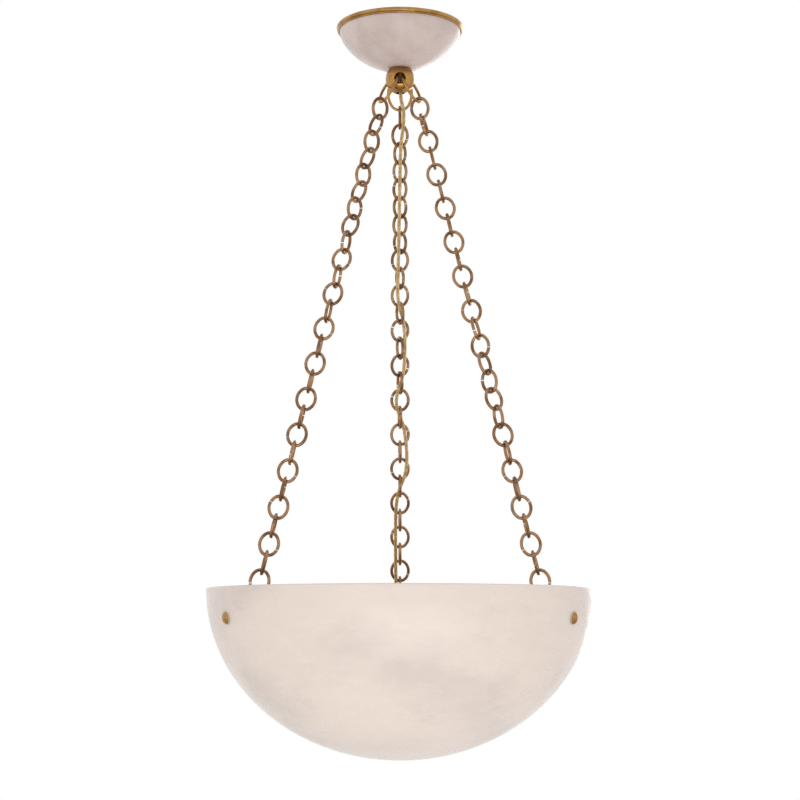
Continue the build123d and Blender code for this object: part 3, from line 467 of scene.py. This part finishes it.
def cup_stone(settings):
    """The ceiling cup's pinkish grey stone, with soft clouds."""
    material, nodes, links, skin = new_material("Cup stone")
    broad = clouds(nodes, scale=16.0, low=0.40, high=0.64, warp=0.04)
    fine = clouds(nodes, scale=70.0, low=0.35, high=0.75, warp=0.02)
    base = mixed_colour(nodes, links, broad.outputs["Mask"],
                        tinted(settings.cup, 1.10), tinted(settings.cup, 0.90))
    mottled = mixed_colour(nodes, links, value_between(nodes, links, fine.outputs["Mask"], 0.0, 0.3),
                           base, tinted(settings.cup, 1.16))
    links.new(mottled, skin.inputs["Base Color"])
    polish_stone(nodes, links, skin, fine, weight=0.12, depth=0.004)
    spread_nodes(material.node_tree)
    return material


def old_brass(name, colour, tarnish, rough):
    """Aged brass: a satin metal with browner patches and small dark pits."""
    material, nodes, links, skin = new_material(name)
    patch = clouds(nodes, scale=70.0, low=0.42, high=0.62, warp=0.02)
    specks = specks_over(nodes, scale=420.0, cover=0.16)
    brown = (colour[0] * 0.42, colour[1] * 0.32, colour[2] * 0.24)
    browned = mixed_colour(nodes, links, value_between(nodes, links, patch.outputs["Mask"], 0.0, tarnish),
                           colour, brown)
    pitted = mixed_colour(nodes, links, value_between(nodes, links, specks.outputs["Mask"], 0.0, 0.45),
                          browned, tinted(brown, 0.7))
    links.new(pitted, skin.inputs["Base Color"])
    links.new(value_between(nodes, links, patch.outputs["Mask"], rough, rough + 0.16),
              skin.inputs["Roughness"])
    links.new(bump_from(nodes, links, specks.outputs["Mask"], 0.12, 0.0002), skin.inputs["Normal"])
    skin.inputs["Metallic"].default_value = 1.0
    spread_nodes(material.node_tree)
    return material


def plain_metal(name, colour, rough):
    """Bright or zinc plated metal with faint cloudy handling marks."""
    material, nodes, links, skin = new_material(name)
    marks = clouds(nodes, scale=90.0, low=0.3, high=0.8, warp=0.01)
    links.new(mixed_colour(nodes, links, marks.outputs["Mask"], colour, tinted(colour, 0.86)),
              skin.inputs["Base Color"])
    links.new(value_between(nodes, links, marks.outputs["Mask"], rough, rough + 0.12),
              skin.inputs["Roughness"])
    skin.inputs["Metallic"].default_value = 1.0
    spread_nodes(material.node_tree)
    return material


def plain_skin(name, colour, rough, coat=0.0):
    """Enamel, plastic, fibre or rubber: a little colour drift and a faint grain."""
    material, nodes, links, skin = new_material(name)
    drift = clouds(nodes, scale=60.0, low=0.3, high=0.8, warp=0.01)
    grain = specks_over(nodes, scale=900.0, cover=0.35)
    links.new(mixed_colour(nodes, links, drift.outputs["Mask"], colour, tinted(colour, 0.93)),
              skin.inputs["Base Color"])
    links.new(value_between(nodes, links, drift.outputs["Mask"], rough, rough + 0.08),
              skin.inputs["Roughness"])
    links.new(bump_from(nodes, links, grain.outputs["Mask"], 0.05, 0.0001), skin.inputs["Normal"])
    skin.inputs["Coat Weight"].default_value = coat
    spread_nodes(material.node_tree)
    return material


def clear_cord():
    """Clear insulation, gone amber, over copper strands."""
    material, nodes, links, skin = new_material("Clear cord")
    strands = clouds(nodes, scale=220.0, low=0.4, high=0.6, warp=0.005)
    links.new(mixed_colour(nodes, links, strands.outputs["Mask"], (0.48, 0.30, 0.10), (0.70, 0.50, 0.22)),
              skin.inputs["Base Color"])
    set_inputs(skin, {
        "Roughness": 0.28, "Coat Weight": 0.7, "Coat Roughness": 0.12, "Subsurface Weight": 0.2,
        "Subsurface Scale": 0.0015,
    })
    spread_nodes(material.node_tree)
    return material


def frosted_glass():
    """A bulb's etched glass."""
    material, nodes, links, skin = new_material("Frosted glass")
    frost = clouds(nodes, scale=160.0, low=0.3, high=0.8, warp=0.005)
    links.new(mixed_colour(nodes, links, frost.outputs["Mask"], (0.90, 0.89, 0.86), (0.84, 0.83, 0.80)),
              skin.inputs["Base Color"])
    links.new(value_between(nodes, links, frost.outputs["Mask"], 0.42, 0.52), skin.inputs["Roughness"])
    set_inputs(skin, {"Transmission Weight": 0.35, "IOR": 1.48})
    spread_nodes(material.node_tree)
    return material


MATERIALS = {}


def make_materials(scene):
    """Every finish, by the record's slot name."""
    bowl, chain = scene.pendant_bowl, scene.pendant_chain
    MATERIALS.update({
        "stone": alabaster(bowl),
        "cup_stone": cup_stone(bowl),
        "aged_brass": old_brass("Aged brass", tuple(chain.brass), 0.40, 0.22),
        "chain_brass": old_brass("Chain brass", tuple(chain.chain), 0.75, 0.30),
        "thread_brass": old_brass("Turned brass", (0.62, 0.42, 0.17), 0.2, 0.22),
        "zinc_steel": plain_metal("Zinc plated steel", (0.55, 0.56, 0.58), 0.30),
        "cap_metal": plain_metal("Bulb cap metal", (0.62, 0.62, 0.61), 0.22),
        "white_steel": plain_skin("White enamel", (0.78, 0.76, 0.72), 0.30, 0.3),
        "fibre": plain_skin("Pressed fibre", (0.20, 0.07, 0.035), 0.75),
        "soft_washer": plain_skin("Soft washer", (0.62, 0.58, 0.52), 0.45),
        "terminal_plastic": plain_skin("Terminal plastic", (0.72, 0.68, 0.58), 0.40),
        "lead_insulation": plain_skin("Lead insulation", (0.80, 0.79, 0.75), 0.35),
        "holder_plastic": plain_skin("Holder plastic", (0.80, 0.77, 0.70), 0.34, 0.2),
        "tip_insulator": plain_skin("Black tip glass", (0.02, 0.02, 0.022), 0.15, 0.6),
        "clear_cord": clear_cord(),
        "frosted_glass": frosted_glass(),
    })


# ------------------------------------------------------------------ mesh helpers


def finished(name, bm, body, slot_name, *nodes, smooth_angle=40.0):
    """Turns a bmesh into a piece that rides a body and stands for CAD nodes."""
    bmesh.ops.remove_doubles(bm, verts=bm.verts, dist=MERGE)
    bmesh.ops.recalc_face_normals(bm, faces=bm.faces)
    mesh = bpy.data.meshes.new(name)
    bm.to_mesh(mesh)
    bm.free()
    mesh.shade_smooth()
    mesh.set_sharp_from_angle(angle=radians(smooth_angle))
    return dressed(name, mesh, body, slot_name, *nodes)


def dressed(name, mesh, body, slot_name, *nodes):
    """Links a mesh as a piece with its finish, body and CAD nodes."""
    piece = bpy.data.objects.new(name, mesh)
    bpy.context.scene.collection.objects.link(piece)
    mesh.materials.clear()
    mesh.materials.append(MATERIALS[slot_name])
    if nodes:
        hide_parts(*nodes)
    if body:
        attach(piece, body)
    return piece


def lathe(bm, outline, segments, matrix=None):
    """Spins an outline of (radius, height) points about Z, then places it."""
    verts = [bm.verts.new((radius, 0.0, height)) for radius, height in outline]
    edges = [bm.edges.new(pair) for pair in zip(verts, verts[1:])]
    before = set(bm.verts) - set(verts)
    bmesh.ops.spin(
        bm, geom=verts + edges, cent=(0, 0, 0), axis=(0, 0, 1), angle=2 * pi, steps=segments,
        use_merge=True)
    made = [vert for vert in bm.verts if vert not in before]
    bmesh.ops.remove_doubles(bm, verts=made, dist=MERGE)
    made = [vert for vert in bm.verts if vert not in before]
    if matrix is not None:
        bmesh.ops.transform(bm, matrix=matrix, verts=made)


def raised(outline, base):
    """An outline in mm, put on a height in metres."""
    return [(radius * MM, base + height * MM) for radius, height in outline]


def arc(centre, radius, start, turn, steps):
    """Points along an arc, angles in degrees."""
    return [
        (centre[0] + radius * cos(radians(start + turn * k / steps)),
         centre[1] + radius * sin(radians(start + turn * k / steps)))
        for k in range(steps + 1)
    ]


def oval_arcs(half_width, half_length, crown):
    """The four arcs of an oval: (middle, radius, start angle, turn), in radians and in order."""
    rise = half_length - crown
    side = (half_width**2 + rise**2 - crown**2) / (2 * (half_width - crown))
    reach = side - half_width
    corner = atan2(rise, reach)
    return [
        ((-reach, 0.0), side, -corner, 2 * corner),
        ((0.0, rise), crown, corner, pi - 2 * corner),
        ((reach, 0.0), side, pi - corner, 2 * corner),
        ((0.0, -rise), crown, pi + corner, pi - 2 * corner),
    ]


def bent_wire(bm, arcs, wire, around, joint=0.0):
    """Round wire spun along arcs in the XZ plane. With a joint the last arc stops short of the first."""
    made = set(bm.verts)
    (cx, cz), radius, start, _ = arcs[0]
    open_by = joint / radius / 2
    out = Vector((cos(start + open_by), 0, sin(start + open_by)))
    along = Vector((-out.z, 0, out.x))
    place = Matrix((out, Vector((0, 1, 0)), along)).transposed().to_4x4()
    place.translation = Vector((cx, 0, cz)) + out * radius
    bmesh.ops.create_circle(bm, cap_ends=False, radius=wire / 2, segments=around, matrix=place)
    ring = [vert for vert in bm.verts if vert not in made]
    first_edges = {edge for vert in ring for edge in vert.link_edges}
    geom = ring + list(first_edges)
    for index, ((cx, cz), radius, _, turn) in enumerate(arcs):
        if index == 0 or index == len(arcs) - 1:
            turn = turn - joint / radius / 2
        steps = max(3, round(turn / WIRE_STEP))
        spun = bmesh.ops.spin(
            bm, geom=geom, cent=(cx, 0, cz), axis=(0, -1, 0), angle=turn, steps=steps, use_merge=False)
        geom = [item for item in spun["geom_last"] if not isinstance(item, bmesh.types.BMFace)]
    if joint:
        for edges in (first_edges, [item for item in geom if isinstance(item, bmesh.types.BMEdge)]):
            cap = bmesh.ops.edgeloop_fill(bm, edges=list(edges))
            bmesh.ops.inset_region(
                bm, faces=cap["faces"], thickness=wire * WIRE_END_INSET, depth=wire * WIRE_END_SWELL)
    return [vert for vert in bm.verts if vert not in made]


def between(knots, index):
    """The value at an index, read from straight lines between (index, value) knots."""
    for (i0, v0), (i1, v1) in zip(knots, knots[1:]):
        if index <= i1:
            return v0 + (v1 - v0) * (index - i0) / (i1 - i0)
    return knots[-1][1]


# ------------------------------------------------------------------ pieces


def stone_profile(radius, depth, steps):
    """A bowl's side from just under the rim to its lowest point, as (radius, height)."""
    start = asin(RIM_ROUNDING / depth)
    angles = [start + (pi / 2 - start) * k / steps for k in range(steps + 1)]
    return [(radius * cos(angle), RIM - depth * sin(angle)) for angle in angles]


class PENDANT_OT_bowl(bpy.types.Operator):
    """Turn the stone bowl, with a softly rounded rim"""

    bl_idname = "pendant.bowl"
    bl_label = "Bowl"

    def execute(self, context):
        size = context.scene.pendant_bowl
        outer = stone_profile(size.radius, size.depth, BOWL_STEPS)
        inner = stone_profile(size.radius - BOWL_WALL, size.depth - BOWL_FLOOR, BOWL_STEPS)
        outer_top = (outer[0][0] - RIM_ROUNDING, RIM - RIM_ROUNDING)
        inner_top = (inner[0][0] + RIM_ROUNDING, RIM - RIM_ROUNDING)
        rim_arc = arc(outer_top, RIM_ROUNDING, 0, 90, RIM_STEPS)
        rim_arc += arc(inner_top, RIM_ROUNDING, 90, 90, RIM_STEPS)
        outer[-1] = (0.0, outer[-1][1])
        inner[-1] = (0.0, inner[-1][1])
        bm = bmesh.new()
        lathe(bm, outer[::-1] + rim_arc[1:-1] + inner, BOWL_AROUND)
        finished("bowl_shell", bm, "bowl", "stone", "bowl")
        return {"FINISHED"}


class PENDANT_OT_chains(bpy.types.Operator):
    """Bend the links of the three chains and hang them in each other"""

    bl_idname = "pendant.chains"
    bl_label = "Chains"

    def link_mesh(self, size):
        """One open link, its joint high on the +X side."""
        half_length = (PITCH + PLAY + size.link_wire) / 2
        arcs = oval_arcs(size.link_half_width, half_length, size.link_crown)
        middle, radius, start, turn = arcs[0]
        joint_at = asin(JOINT_RISE * half_length / radius)
        upper = (middle, radius, joint_at, start + turn - joint_at)
        lower = (middle, radius, start, joint_at - start)
        bm = bmesh.new()
        bent_wire(bm, [upper] + arcs[1:] + [lower], size.link_wire, LINK_AROUND, size.joint)
        bmesh.ops.recalc_face_normals(bm, faces=bm.faces)
        mesh = bpy.data.meshes.new("one link")
        bm.to_mesh(mesh)
        bm.free()
        return mesh

    def link_matrix(self, side, index):
        """A link's place. Links hang four ways round, so that their joints don't line up."""
        roll = between(TWIST[side], index) + 90 * ((index + 1) % 2)
        over = 180 * (index * index // 3 % 2)
        about = 180 * (index // 2 % 2)
        return (
            turned_to(AZIMUTHS[side]) @ Matrix.Translation(on_chain(index))
            @ Matrix.Rotation(-CHAIN_LEAN, 4, "Y") @ turned_to(90 + about - roll)
            @ Matrix.Rotation(radians(over), 4, "X")
        )

    def hang(self, name, link, side, indices, body, node):
        """Copies of the link at these places down a chain, as one piece."""
        bm = bmesh.new()
        for index in indices:
            before = set(bm.verts)
            bm.from_mesh(link)
            new = [vert for vert in bm.verts if vert not in before]
            bmesh.ops.transform(bm, matrix=self.link_matrix(side, index), verts=new)
        finished(name, bm, body, "chain_brass", node, smooth_angle=50.0)

    def execute(self, context):
        link = self.link_mesh(context.scene.pendant_chain)
        for side in AZIMUTHS:
            last = LINK_COUNT if side == "left" else LINK_COUNT + 1
            self.hang(f"{side}_top_link", link, side, [1], f"{side}_top_link", f"top_link_{side}")
            self.hang(
                f"{side}_chain_links", link, side, range(2, last), f"{side}_chain", f"chain_{side}")
        self.hang("left_end_link", link, "left", [LINK_COUNT], "left_end_link", "end_link_left")
        bpy.data.meshes.remove(link)
        return {"FINISHED"}


class PENDANT_OT_rings(bpy.types.Operator):
    """Bend the three oval rings that hang through the hub's holes"""

    bl_idname = "pendant.rings"
    bl_label = "Hub rings"

    def execute(self, context):
        size = context.scene.pendant_chain
        arcs = oval_arcs(RING_HALF_WIDTH, RING_HALF_LENGTH, RING_CROWN)
        middle = Vector((
            RING_FOOT[0] - RING_HALF_LENGTH * sin(RING_LEAN), 0,
            RING_FOOT[1] + RING_HALF_LENGTH * cos(RING_LEAN),
        ))
        for side, azimuth in AZIMUTHS.items():
            bm = bmesh.new()
            bent_wire(bm, arcs, size.ring_wire, RING_AROUND)
            place = (
                turned_to(azimuth) @ Matrix.Translation(middle)
                @ Matrix.Rotation(-RING_LEAN, 4, "Y") @ turned_to(90)
            )
            bmesh.ops.transform(bm, matrix=place, verts=bm.verts)
            finished(f"{side}_hub_ring", bm, "ceiling_cup", "aged_brass", f"hub_ring_{side}")
        return {"FINISHED"}


class PENDANT_OT_anchors(bpy.types.Operator):
    """Turn the screws, washers and eyes that fasten the chains to the bowl"""

    bl_idname = "pendant.anchors"
    bl_label = "Anchors"

    def screw(self, bm, matrix):
        """A domed head outside the bowl and a shank that ends in the eye's barrel."""
        dome = arc((0, SCREW_SEAT + HEAD_EDGE - HEAD_BALL_DROP), HEAD_BALL, *HEAD_DOME, DOME_STEPS)
        shank = raised(SHANK_END, -BARREL_START - SHANK_LENGTH)
        shank.append((shank[-1][0], SCREW_SEAT))
        head = raised(HEAD_RIM, SCREW_SEAT) + dome[:-1] + [(0.0, dome[-1][1])]
        lathe(bm, shank + head, SCREW_AROUND, matrix)

    def washer(self, bm, matrix, radius, low, high):
        flat = radius - WASHER_ROUNDING
        outline = [
            (WASHER_BORE, low), (flat, low), (radius, low + WASHER_ROUNDING),
            (radius, high - WASHER_ROUNDING), (flat, high), (WASHER_BORE, high), (WASHER_BORE, low),
        ]
        lathe(bm, outline, SCREW_AROUND, matrix)

    def eye(self, bm, matrix):
        """The eye that a chain's last link hangs in, and its barrel."""
        ring = bent_wire(bm, [((0.0, 0.0), EYE_RADIUS, 0.0, 2 * pi)], EYE_WIRE, RING_AROUND)
        place = matrix @ Matrix.Translation((0, 0, -EYE_MIDDLE)) @ turned_to(90)
        bmesh.ops.transform(bm, matrix=place, verts=ring)
        outline = raised(EYE_NECK, -EYE_MIDDLE + EYE_TO_NECK) + raised(EYE_FOOT, -BARREL_START)
        lathe(bm, outline, EYE_AROUND, matrix)

    def execute(self, context):
        screws, washers, pads, eyes = (bmesh.new() for _ in range(4))
        for azimuth in AZIMUTHS.values():
            matrix = anchor_matrix(azimuth)
            self.screw(screws, matrix)
            self.washer(washers, matrix, WASHER_RADIUS, WASHER_START, SCREW_SEAT)
            self.washer(pads, matrix, PAD_RADIUS, -PAD_START - PAD_THICKNESS, -PAD_START)
            self.eye(eyes, matrix)
        finished("bowl_screws", screws, "bowl", "aged_brass", "anchor_screws")
        finished("outer_washers", washers, "bowl", "soft_washer", "anchor_washers")
        finished("inner_washers", pads, "bowl", "soft_washer", "anchor_pads")
        finished("bowl_eyes", eyes, "bowl", "aged_brass", "eye_nuts")
        return {"FINISHED"}


class PENDANT_OT_cord(bpy.types.Operator):
    """Lay the flat two-core cord from the cup down the rear chain to the lamps"""

    bl_idname = "pendant.cord"
    bl_label = "Cord"

    def route(self):
        """The given points in order, in the part's frame."""
        rear = turned_to(AZIMUTHS["rear"])
        cup = [Vector(point) * MM for point in CORD_IN_CUP]
        weave = [
            rear @ on_chain(link, -side * MM, outward * MM) for link, side, outward in CORD_WEAVE]
        return cup + weave + [Vector(point) * MM for point in CORD_IN_BOWL]

    def core(self, points, sideways):
        """One insulated core: a smooth line through the route, a little to one side."""
        curve = bpy.data.curves.new("core", "CURVE")
        curve.dimensions = "3D"
        curve.bevel_depth = CORE_RADIUS
        curve.bevel_resolution = 3
        curve.use_fill_caps = True
        spline = curve.splines.new("NURBS")
        spline.points.add(len(points) - 1)
        for control, point in zip(spline.points, points):
            control.co = (point.x + sideways, point.y, point.z, 1.0)
        spline.order_u = 3
        spline.use_endpoint_u = True
        spline.resolution_u = 10
        holder = bpy.data.objects.new("core", curve)
        bpy.context.scene.collection.objects.link(holder)
        bpy.context.view_layer.update()
        evaluated = holder.evaluated_get(bpy.context.evaluated_depsgraph_get())
        mesh = bpy.data.meshes.new_from_object(evaluated)
        bpy.data.objects.remove(holder)
        bpy.data.curves.remove(curve)
        return mesh

    def stretch(self, mesh, top, bottom):
        """A copy of the cord between two heights. None leaves that end as it is."""
        bm = bmesh.new()
        bm.from_mesh(mesh)
        bmesh.ops.remove_doubles(bm, verts=bm.verts, dist=MERGE)
        for height, normal in ((top, (0, 0, 1)), (bottom, (0, 0, -1))):
            if height is None:
                continue
            cut = bmesh.ops.bisect_plane(
                bm, geom=bm.verts[:] + bm.edges[:] + bm.faces[:], plane_co=(0, 0, height),
                plane_no=normal, clear_outer=True)
            rims = [item for item in cut["geom_cut"] if isinstance(item, bmesh.types.BMEdge)]
            bmesh.ops.holes_fill(bm, edges=rims, sides=0)
        return bm

    def execute(self, context):
        points = self.route()
        cores = [self.core(points, sideways) for sideways in (-CORE_OFFSET, CORE_OFFSET)]
        both = bmesh.new()
        for mesh in cores:
            both.from_mesh(mesh)
            bpy.data.meshes.remove(mesh)
        whole = bpy.data.meshes.new("whole cord")
        both.to_mesh(whole)
        both.free()
        # heights at which the cord passes from one body to the next
        mouth = -71.75 * MM
        bend = -101.0 * MM
        joined = -128.0 * MM
        leave = -621.6 * MM
        finished(
            "cord_in_cup", self.stretch(whole, None, mouth), "ceiling_cup", "clear_cord", "cord_cup")
        neck = finished(
            "cord_under_hub", self.stretch(whole, mouth, bend), None, "clear_cord", "cord_neck")
        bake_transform(neck)
        knee = finished(
            "cord_at_top_link", self.stretch(whole, bend, joined), None, "clear_cord", "cord_neck")
        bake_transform(knee)
        finished(
            "cord_down_chain", self.stretch(whole, joined, leave), "rear_chain", "clear_cord", "cord_run")
        finished("cord_in_bowl", self.stretch(whole, leave, None), "bowl", "clear_cord", "cord_tail")
        bpy.data.meshes.remove(whole)
        return {"FINISHED"}


class PENDANT_OT_moulding(bpy.types.Operator):
    """Turn the brass moulding round the ceiling cup"""

    bl_idname = "pendant.moulding"
    bl_label = "Cup moulding"

    def execute(self, context):
        nose = arc((TRIM_EDGE - NOSE_RADIUS, -NOSE_RADIUS), NOSE_RADIUS, 90, -180, NOSE_STEPS)
        step = arc(STEP_MIDDLE, STEP_RADIUS, 60, -150, STEP_STEPS)
        inside = [
            (TRIM_SKIRT, TRIM_FOOT), (TRIM_SKIRT, TRIM_SEAT), (TRIM_INNER, TRIM_SEAT), (TRIM_INNER, 0.0)]
        bm = bmesh.new()
        lathe(bm, inside[-1:] + nose + step + inside, TRIM_AROUND)
        finished("cup_moulding", bm, "ceiling_cup", "aged_brass", "cup_trim")
        return {"FINISHED"}


class PENDANT_OT_bulbs(bpy.types.Operator):
    """Blow the bulbs' glass and roll the screw threads of their caps"""

    bl_idname = "pendant.bulbs"
    bl_label = "Bulbs"

    def glass(self, matrix):
        """A straight neck that swells smoothly into a ball."""
        base = SOCKET_MOUTH + CAP_OVERLAP * MM
        tip = base + GLASS_LENGTH * MM
        middle = tip - GLASS_BALL * MM
        neck_end = base + GLASS_NECK_LENGTH * MM
        outline = [(GLASS_NECK_INSIDE * MM, base), (GLASS_NECK * MM, base), (GLASS_NECK * MM, neck_end)]
        for k in range(1, SWELL_STEPS):
            share = k / SWELL_STEPS
            swell = share * share * (3 - 2 * share)
            radius = GLASS_NECK + (GLASS_BALL - GLASS_NECK) * swell
            outline.append((radius * MM, neck_end + (middle - base - GLASS_NECK_LENGTH * MM) * share))
        outline += arc((0.0, middle), GLASS_BALL * MM, 0, 90, BALL_STEPS)[:-1] + [(0.0, tip)]
        bm = bmesh.new()
        lathe(bm, outline, BULB_AROUND, matrix)
        return bm

    def cap(self, matrix):
        """Cap with rolled rings that stand for its thread."""
        low, high = CAP_START + THREAD_START * MM, SOCKET_MOUTH - THREAD_STOP * MM
        outline = raised([(CAP_END, 0.2)], CAP_START)
        for k in range(THREAD_TURNS * THREAD_STEPS + 1):
            share = k / (THREAD_TURNS * THREAD_STEPS)
            radius = CAP_MEAN + THREAD_DEPTH * cos(2 * pi * share * THREAD_TURNS + pi)
            outline.append((radius * MM, low + (high - low) * share))
        lip = [(CAP_LIP, -0.8), (CAP_LIP, CAP_OVERLAP), (CAP_INSIDE, CAP_OVERLAP)]
        outline += raised(lip, SOCKET_MOUTH)
        outline += raised([(CAP_INSIDE, 0.6)], low) + raised([(CAP_END, 0.9)], CAP_START)
        bm = bmesh.new()
        lathe(bm, outline + outline[:1], BULB_AROUND, matrix)
        return bm

    def execute(self, context):
        for number, azimuth in LAMPS.items():
            matrix = lamp_matrix(azimuth)
            glass, cap = self.glass(matrix), self.cap(matrix)
            body = f"bulb_{number}"
            finished(f"bulb_glass_{number}", glass, body, "frosted_glass", f"bulb_{number}_glass")
            finished(f"bulb_screw_{number}", cap, body, "cap_metal", f"bulb_{number}_cap")
        return {"FINISHED"}


# the pieces that keep their built shape, with their finishes
CARRIED_OVER = {
    "cup_stone": "cup_stone", "ceiling_bracket": "zinc_steel", "ground_screw": "zinc_steel",
    "nipple": "thread_brass", "nipple_nuts": "thread_brass", "cup_seal": "fibre",
    "terminal_block": "terminal_plastic", "terminal_screws": "zinc_steel", "hub": "aged_brass",
    "lamp_carrier": "white_steel", "drum": "white_steel", "drum_lid": "white_steel",
    "drum_bolt": "zinc_steel", "drum_nut": "thread_brass", "cord_bushing": "soft_washer",
    "cord_clips": "white_steel",
    "splice": "terminal_plastic", "socket_nipples": "thread_brass", "socket_nuts": "thread_brass",
    "lamp_leads": "lead_insulation",
}
EDGE_ANGLE = radians(28)                        # above this an edge of a built piece stays sharp


class PENDANT_OT_carried_over(bpy.types.Operator):
    """Give the pieces that keep their built shape their finishes and smooth their round faces"""

    bl_idname = "pendant.carried_over"
    bl_label = "Built pieces"

    def execute(self, context):
        finishes = dict(CARRIED_OVER)
        for number in LAMPS:
            finishes[f"socket_{number}"] = "holder_plastic"
            finishes[f"socket_shell_{number}"] = "thread_brass"
            finishes[f"socket_contact_{number}"] = "thread_brass"
            finishes[f"bulb_{number}_tip"] = "tip_insulator"
        for node, slot_name in finishes.items():
            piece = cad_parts[node]
            piece.data.materials.clear()
            piece.data.materials.append(MATERIALS[slot_name])
            piece.data.polygons.foreach_set("use_smooth", [True] * len(piece.data.polygons))
            weld = piece.modifiers.new("Join", "WELD")
            weld.merge_threshold = MERGE
            split = piece.modifiers.new("Edges", "EDGE_SPLIT")
            split.split_angle = EDGE_ANGLE
        return {"FINISHED"}


# ------------------------------------------------------------------ studio


class PENDANT_OT_studio(bpy.types.Operator):
    """Set the pale floor, the soft lights and the camera"""

    bl_idname = "pendant.studio"
    bl_label = "Studio"

    def white_world(self, strength):
        """White all round: full strength to the eye and in reflections, a set strength as light."""
        world = bpy.data.worlds.new("Soft white")
        bpy.context.scene.world = world
        world.use_nodes = True
        nodes, links = world.node_tree.nodes, world.node_tree.links
        nodes.clear()
        path = nodes.new("ShaderNodeLightPath")
        seen = path.outputs["Is Camera Ray"]
        for ray in ("Is Glossy Ray", "Is Transmission Ray"):
            either = nodes.new("ShaderNodeMath")
            either.operation = "MAXIMUM"
            links.new(seen, either.inputs[0])
            links.new(path.outputs[ray], either.inputs[1])
            seen = either.outputs[0]
        light, backdrop = nodes.new("ShaderNodeBackground"), nodes.new("ShaderNodeBackground")
        set_inputs(light, {"Strength": strength, "Color": (1, 1, 1, 1)})
        set_inputs(backdrop, {"Color": (1, 1, 1, 1)})
        mix, out = nodes.new("ShaderNodeMixShader"), nodes.new("ShaderNodeOutputWorld")
        links.new(seen, mix.inputs["Fac"])
        links.new(light.outputs[0], mix.inputs[1])
        links.new(backdrop.outputs[0], mix.inputs[2])
        links.new(mix.outputs[0], out.inputs["Surface"])
        spread_nodes(world.node_tree)

    def area(self, name, place, aim, size, power):
        """A round soft light at a place, turned towards a point."""
        lamp = bpy.data.lights.new(name, "AREA")
        lamp.shape = "DISK"
        lamp.size = size
        lamp.energy = power
        holder = bpy.data.objects.new(name, lamp)
        bpy.context.scene.collection.objects.link(holder)
        holder.location = place
        holder.rotation_euler = (Vector(aim) - Vector(place)).to_track_quat("-Z", "Y").to_euler()

    def floor(self, colour):
        material, nodes, links, skin = new_material("Pale floor")
        drift = clouds(nodes, scale=1.5, low=0.3, high=0.8, warp=0.2)
        links.new(mixed_colour(nodes, links, drift.outputs["Mask"], colour, tinted(colour, 0.985)),
                  skin.inputs["Base Color"])
        skin.inputs["Roughness"].default_value = 0.9
        bm = bmesh.new()
        bmesh.ops.create_circle(bm, cap_ends=True, radius=FLOOR_RADIUS, segments=96)
        bmesh.ops.translate(bm, vec=(0, 0, FLOOR_HEIGHT), verts=bm.verts)
        mesh = bpy.data.meshes.new("floor")
        bm.to_mesh(mesh)
        bm.free()
        mesh.materials.append(material)
        plate = bpy.data.objects.new("floor", mesh)
        bpy.context.scene.collection.objects.link(plate)

    def camera(self):
        lens = bpy.data.cameras.new("Photograph's view")
        lens.lens = CAMERA_LENS
        lens.sensor_width = SENSOR_WIDTH
        lens.clip_end = CAMERA_REACH
        holder = bpy.data.objects.new("Photograph's view", lens)
        bpy.context.scene.collection.objects.link(holder)
        holder.location = CAMERA_PLACE
        holder.rotation_euler = (CAMERA_TILT, 0.0, 0.0)
        bpy.context.scene.camera = holder

    def execute(self, context):
        studio = context.scene.pendant_studio
        self.white_world(studio.world)
        for name, place, aim, size, power in LIGHTS:
            self.area(name, place, aim, size, power * studio.lamp_scale)
        self.floor(tuple(studio.floor))
        self.camera()
        context.scene.view_settings.view_transform = "Standard"
        return {"FINISHED"}


class PENDANT_PT_panel(bpy.types.Panel):
    """Lists the pendant's settings and its pieces"""

    bl_idname = "PENDANT_PT_panel"
    bl_label = "Bowl pendant"
    bl_space_type = "VIEW_3D"
    bl_region_type = "UI"
    bl_category = "Pendant"

    def draw(self, context):
        for settings in SETTINGS:
            group = getattr(context.scene, settings)
            box = self.layout.box()
            for name in group.bl_rna.properties.keys():
                if name not in ("rna_type", "name"):
                    box.prop(group, name)
        for operator in OPERATORS:
            self.layout.operator(operator.bl_idname)


SETTINGS = {
    "pendant_bowl": BowlSettings, "pendant_chain": ChainSettings, "pendant_studio": StudioSettings,
}
OPERATORS = (
    PENDANT_OT_bowl, PENDANT_OT_moulding, PENDANT_OT_rings, PENDANT_OT_chains, PENDANT_OT_anchors,
    PENDANT_OT_cord, PENDANT_OT_bulbs, PENDANT_OT_carried_over, PENDANT_OT_studio,
)


def register():
    for name, group in SETTINGS.items():
        bpy.utils.register_class(group)
        setattr(bpy.types.Scene, name, bpy.props.PointerProperty(type=group))
    for operator in OPERATORS:
        bpy.utils.register_class(operator)
    bpy.utils.register_class(PENDANT_PT_panel)


def unregister():
    bpy.utils.unregister_class(PENDANT_PT_panel)
    for operator in reversed(OPERATORS):
        bpy.utils.unregister_class(operator)
    for name, group in reversed(SETTINGS.items()):
        delattr(bpy.types.Scene, name)
        bpy.utils.unregister_class(group)


def main():
    register()
    make_materials(bpy.context.scene)
    bpy.ops.pendant.bowl()
    bpy.ops.pendant.moulding()
    bpy.ops.pendant.rings()
    bpy.ops.pendant.chains()
    bpy.ops.pendant.anchors()
    bpy.ops.pendant.cord()
    bpy.ops.pendant.bulbs()
    bpy.ops.pendant.carried_over()
    bpy.ops.pendant.studio()


if __name__ == "__main__":
    main()
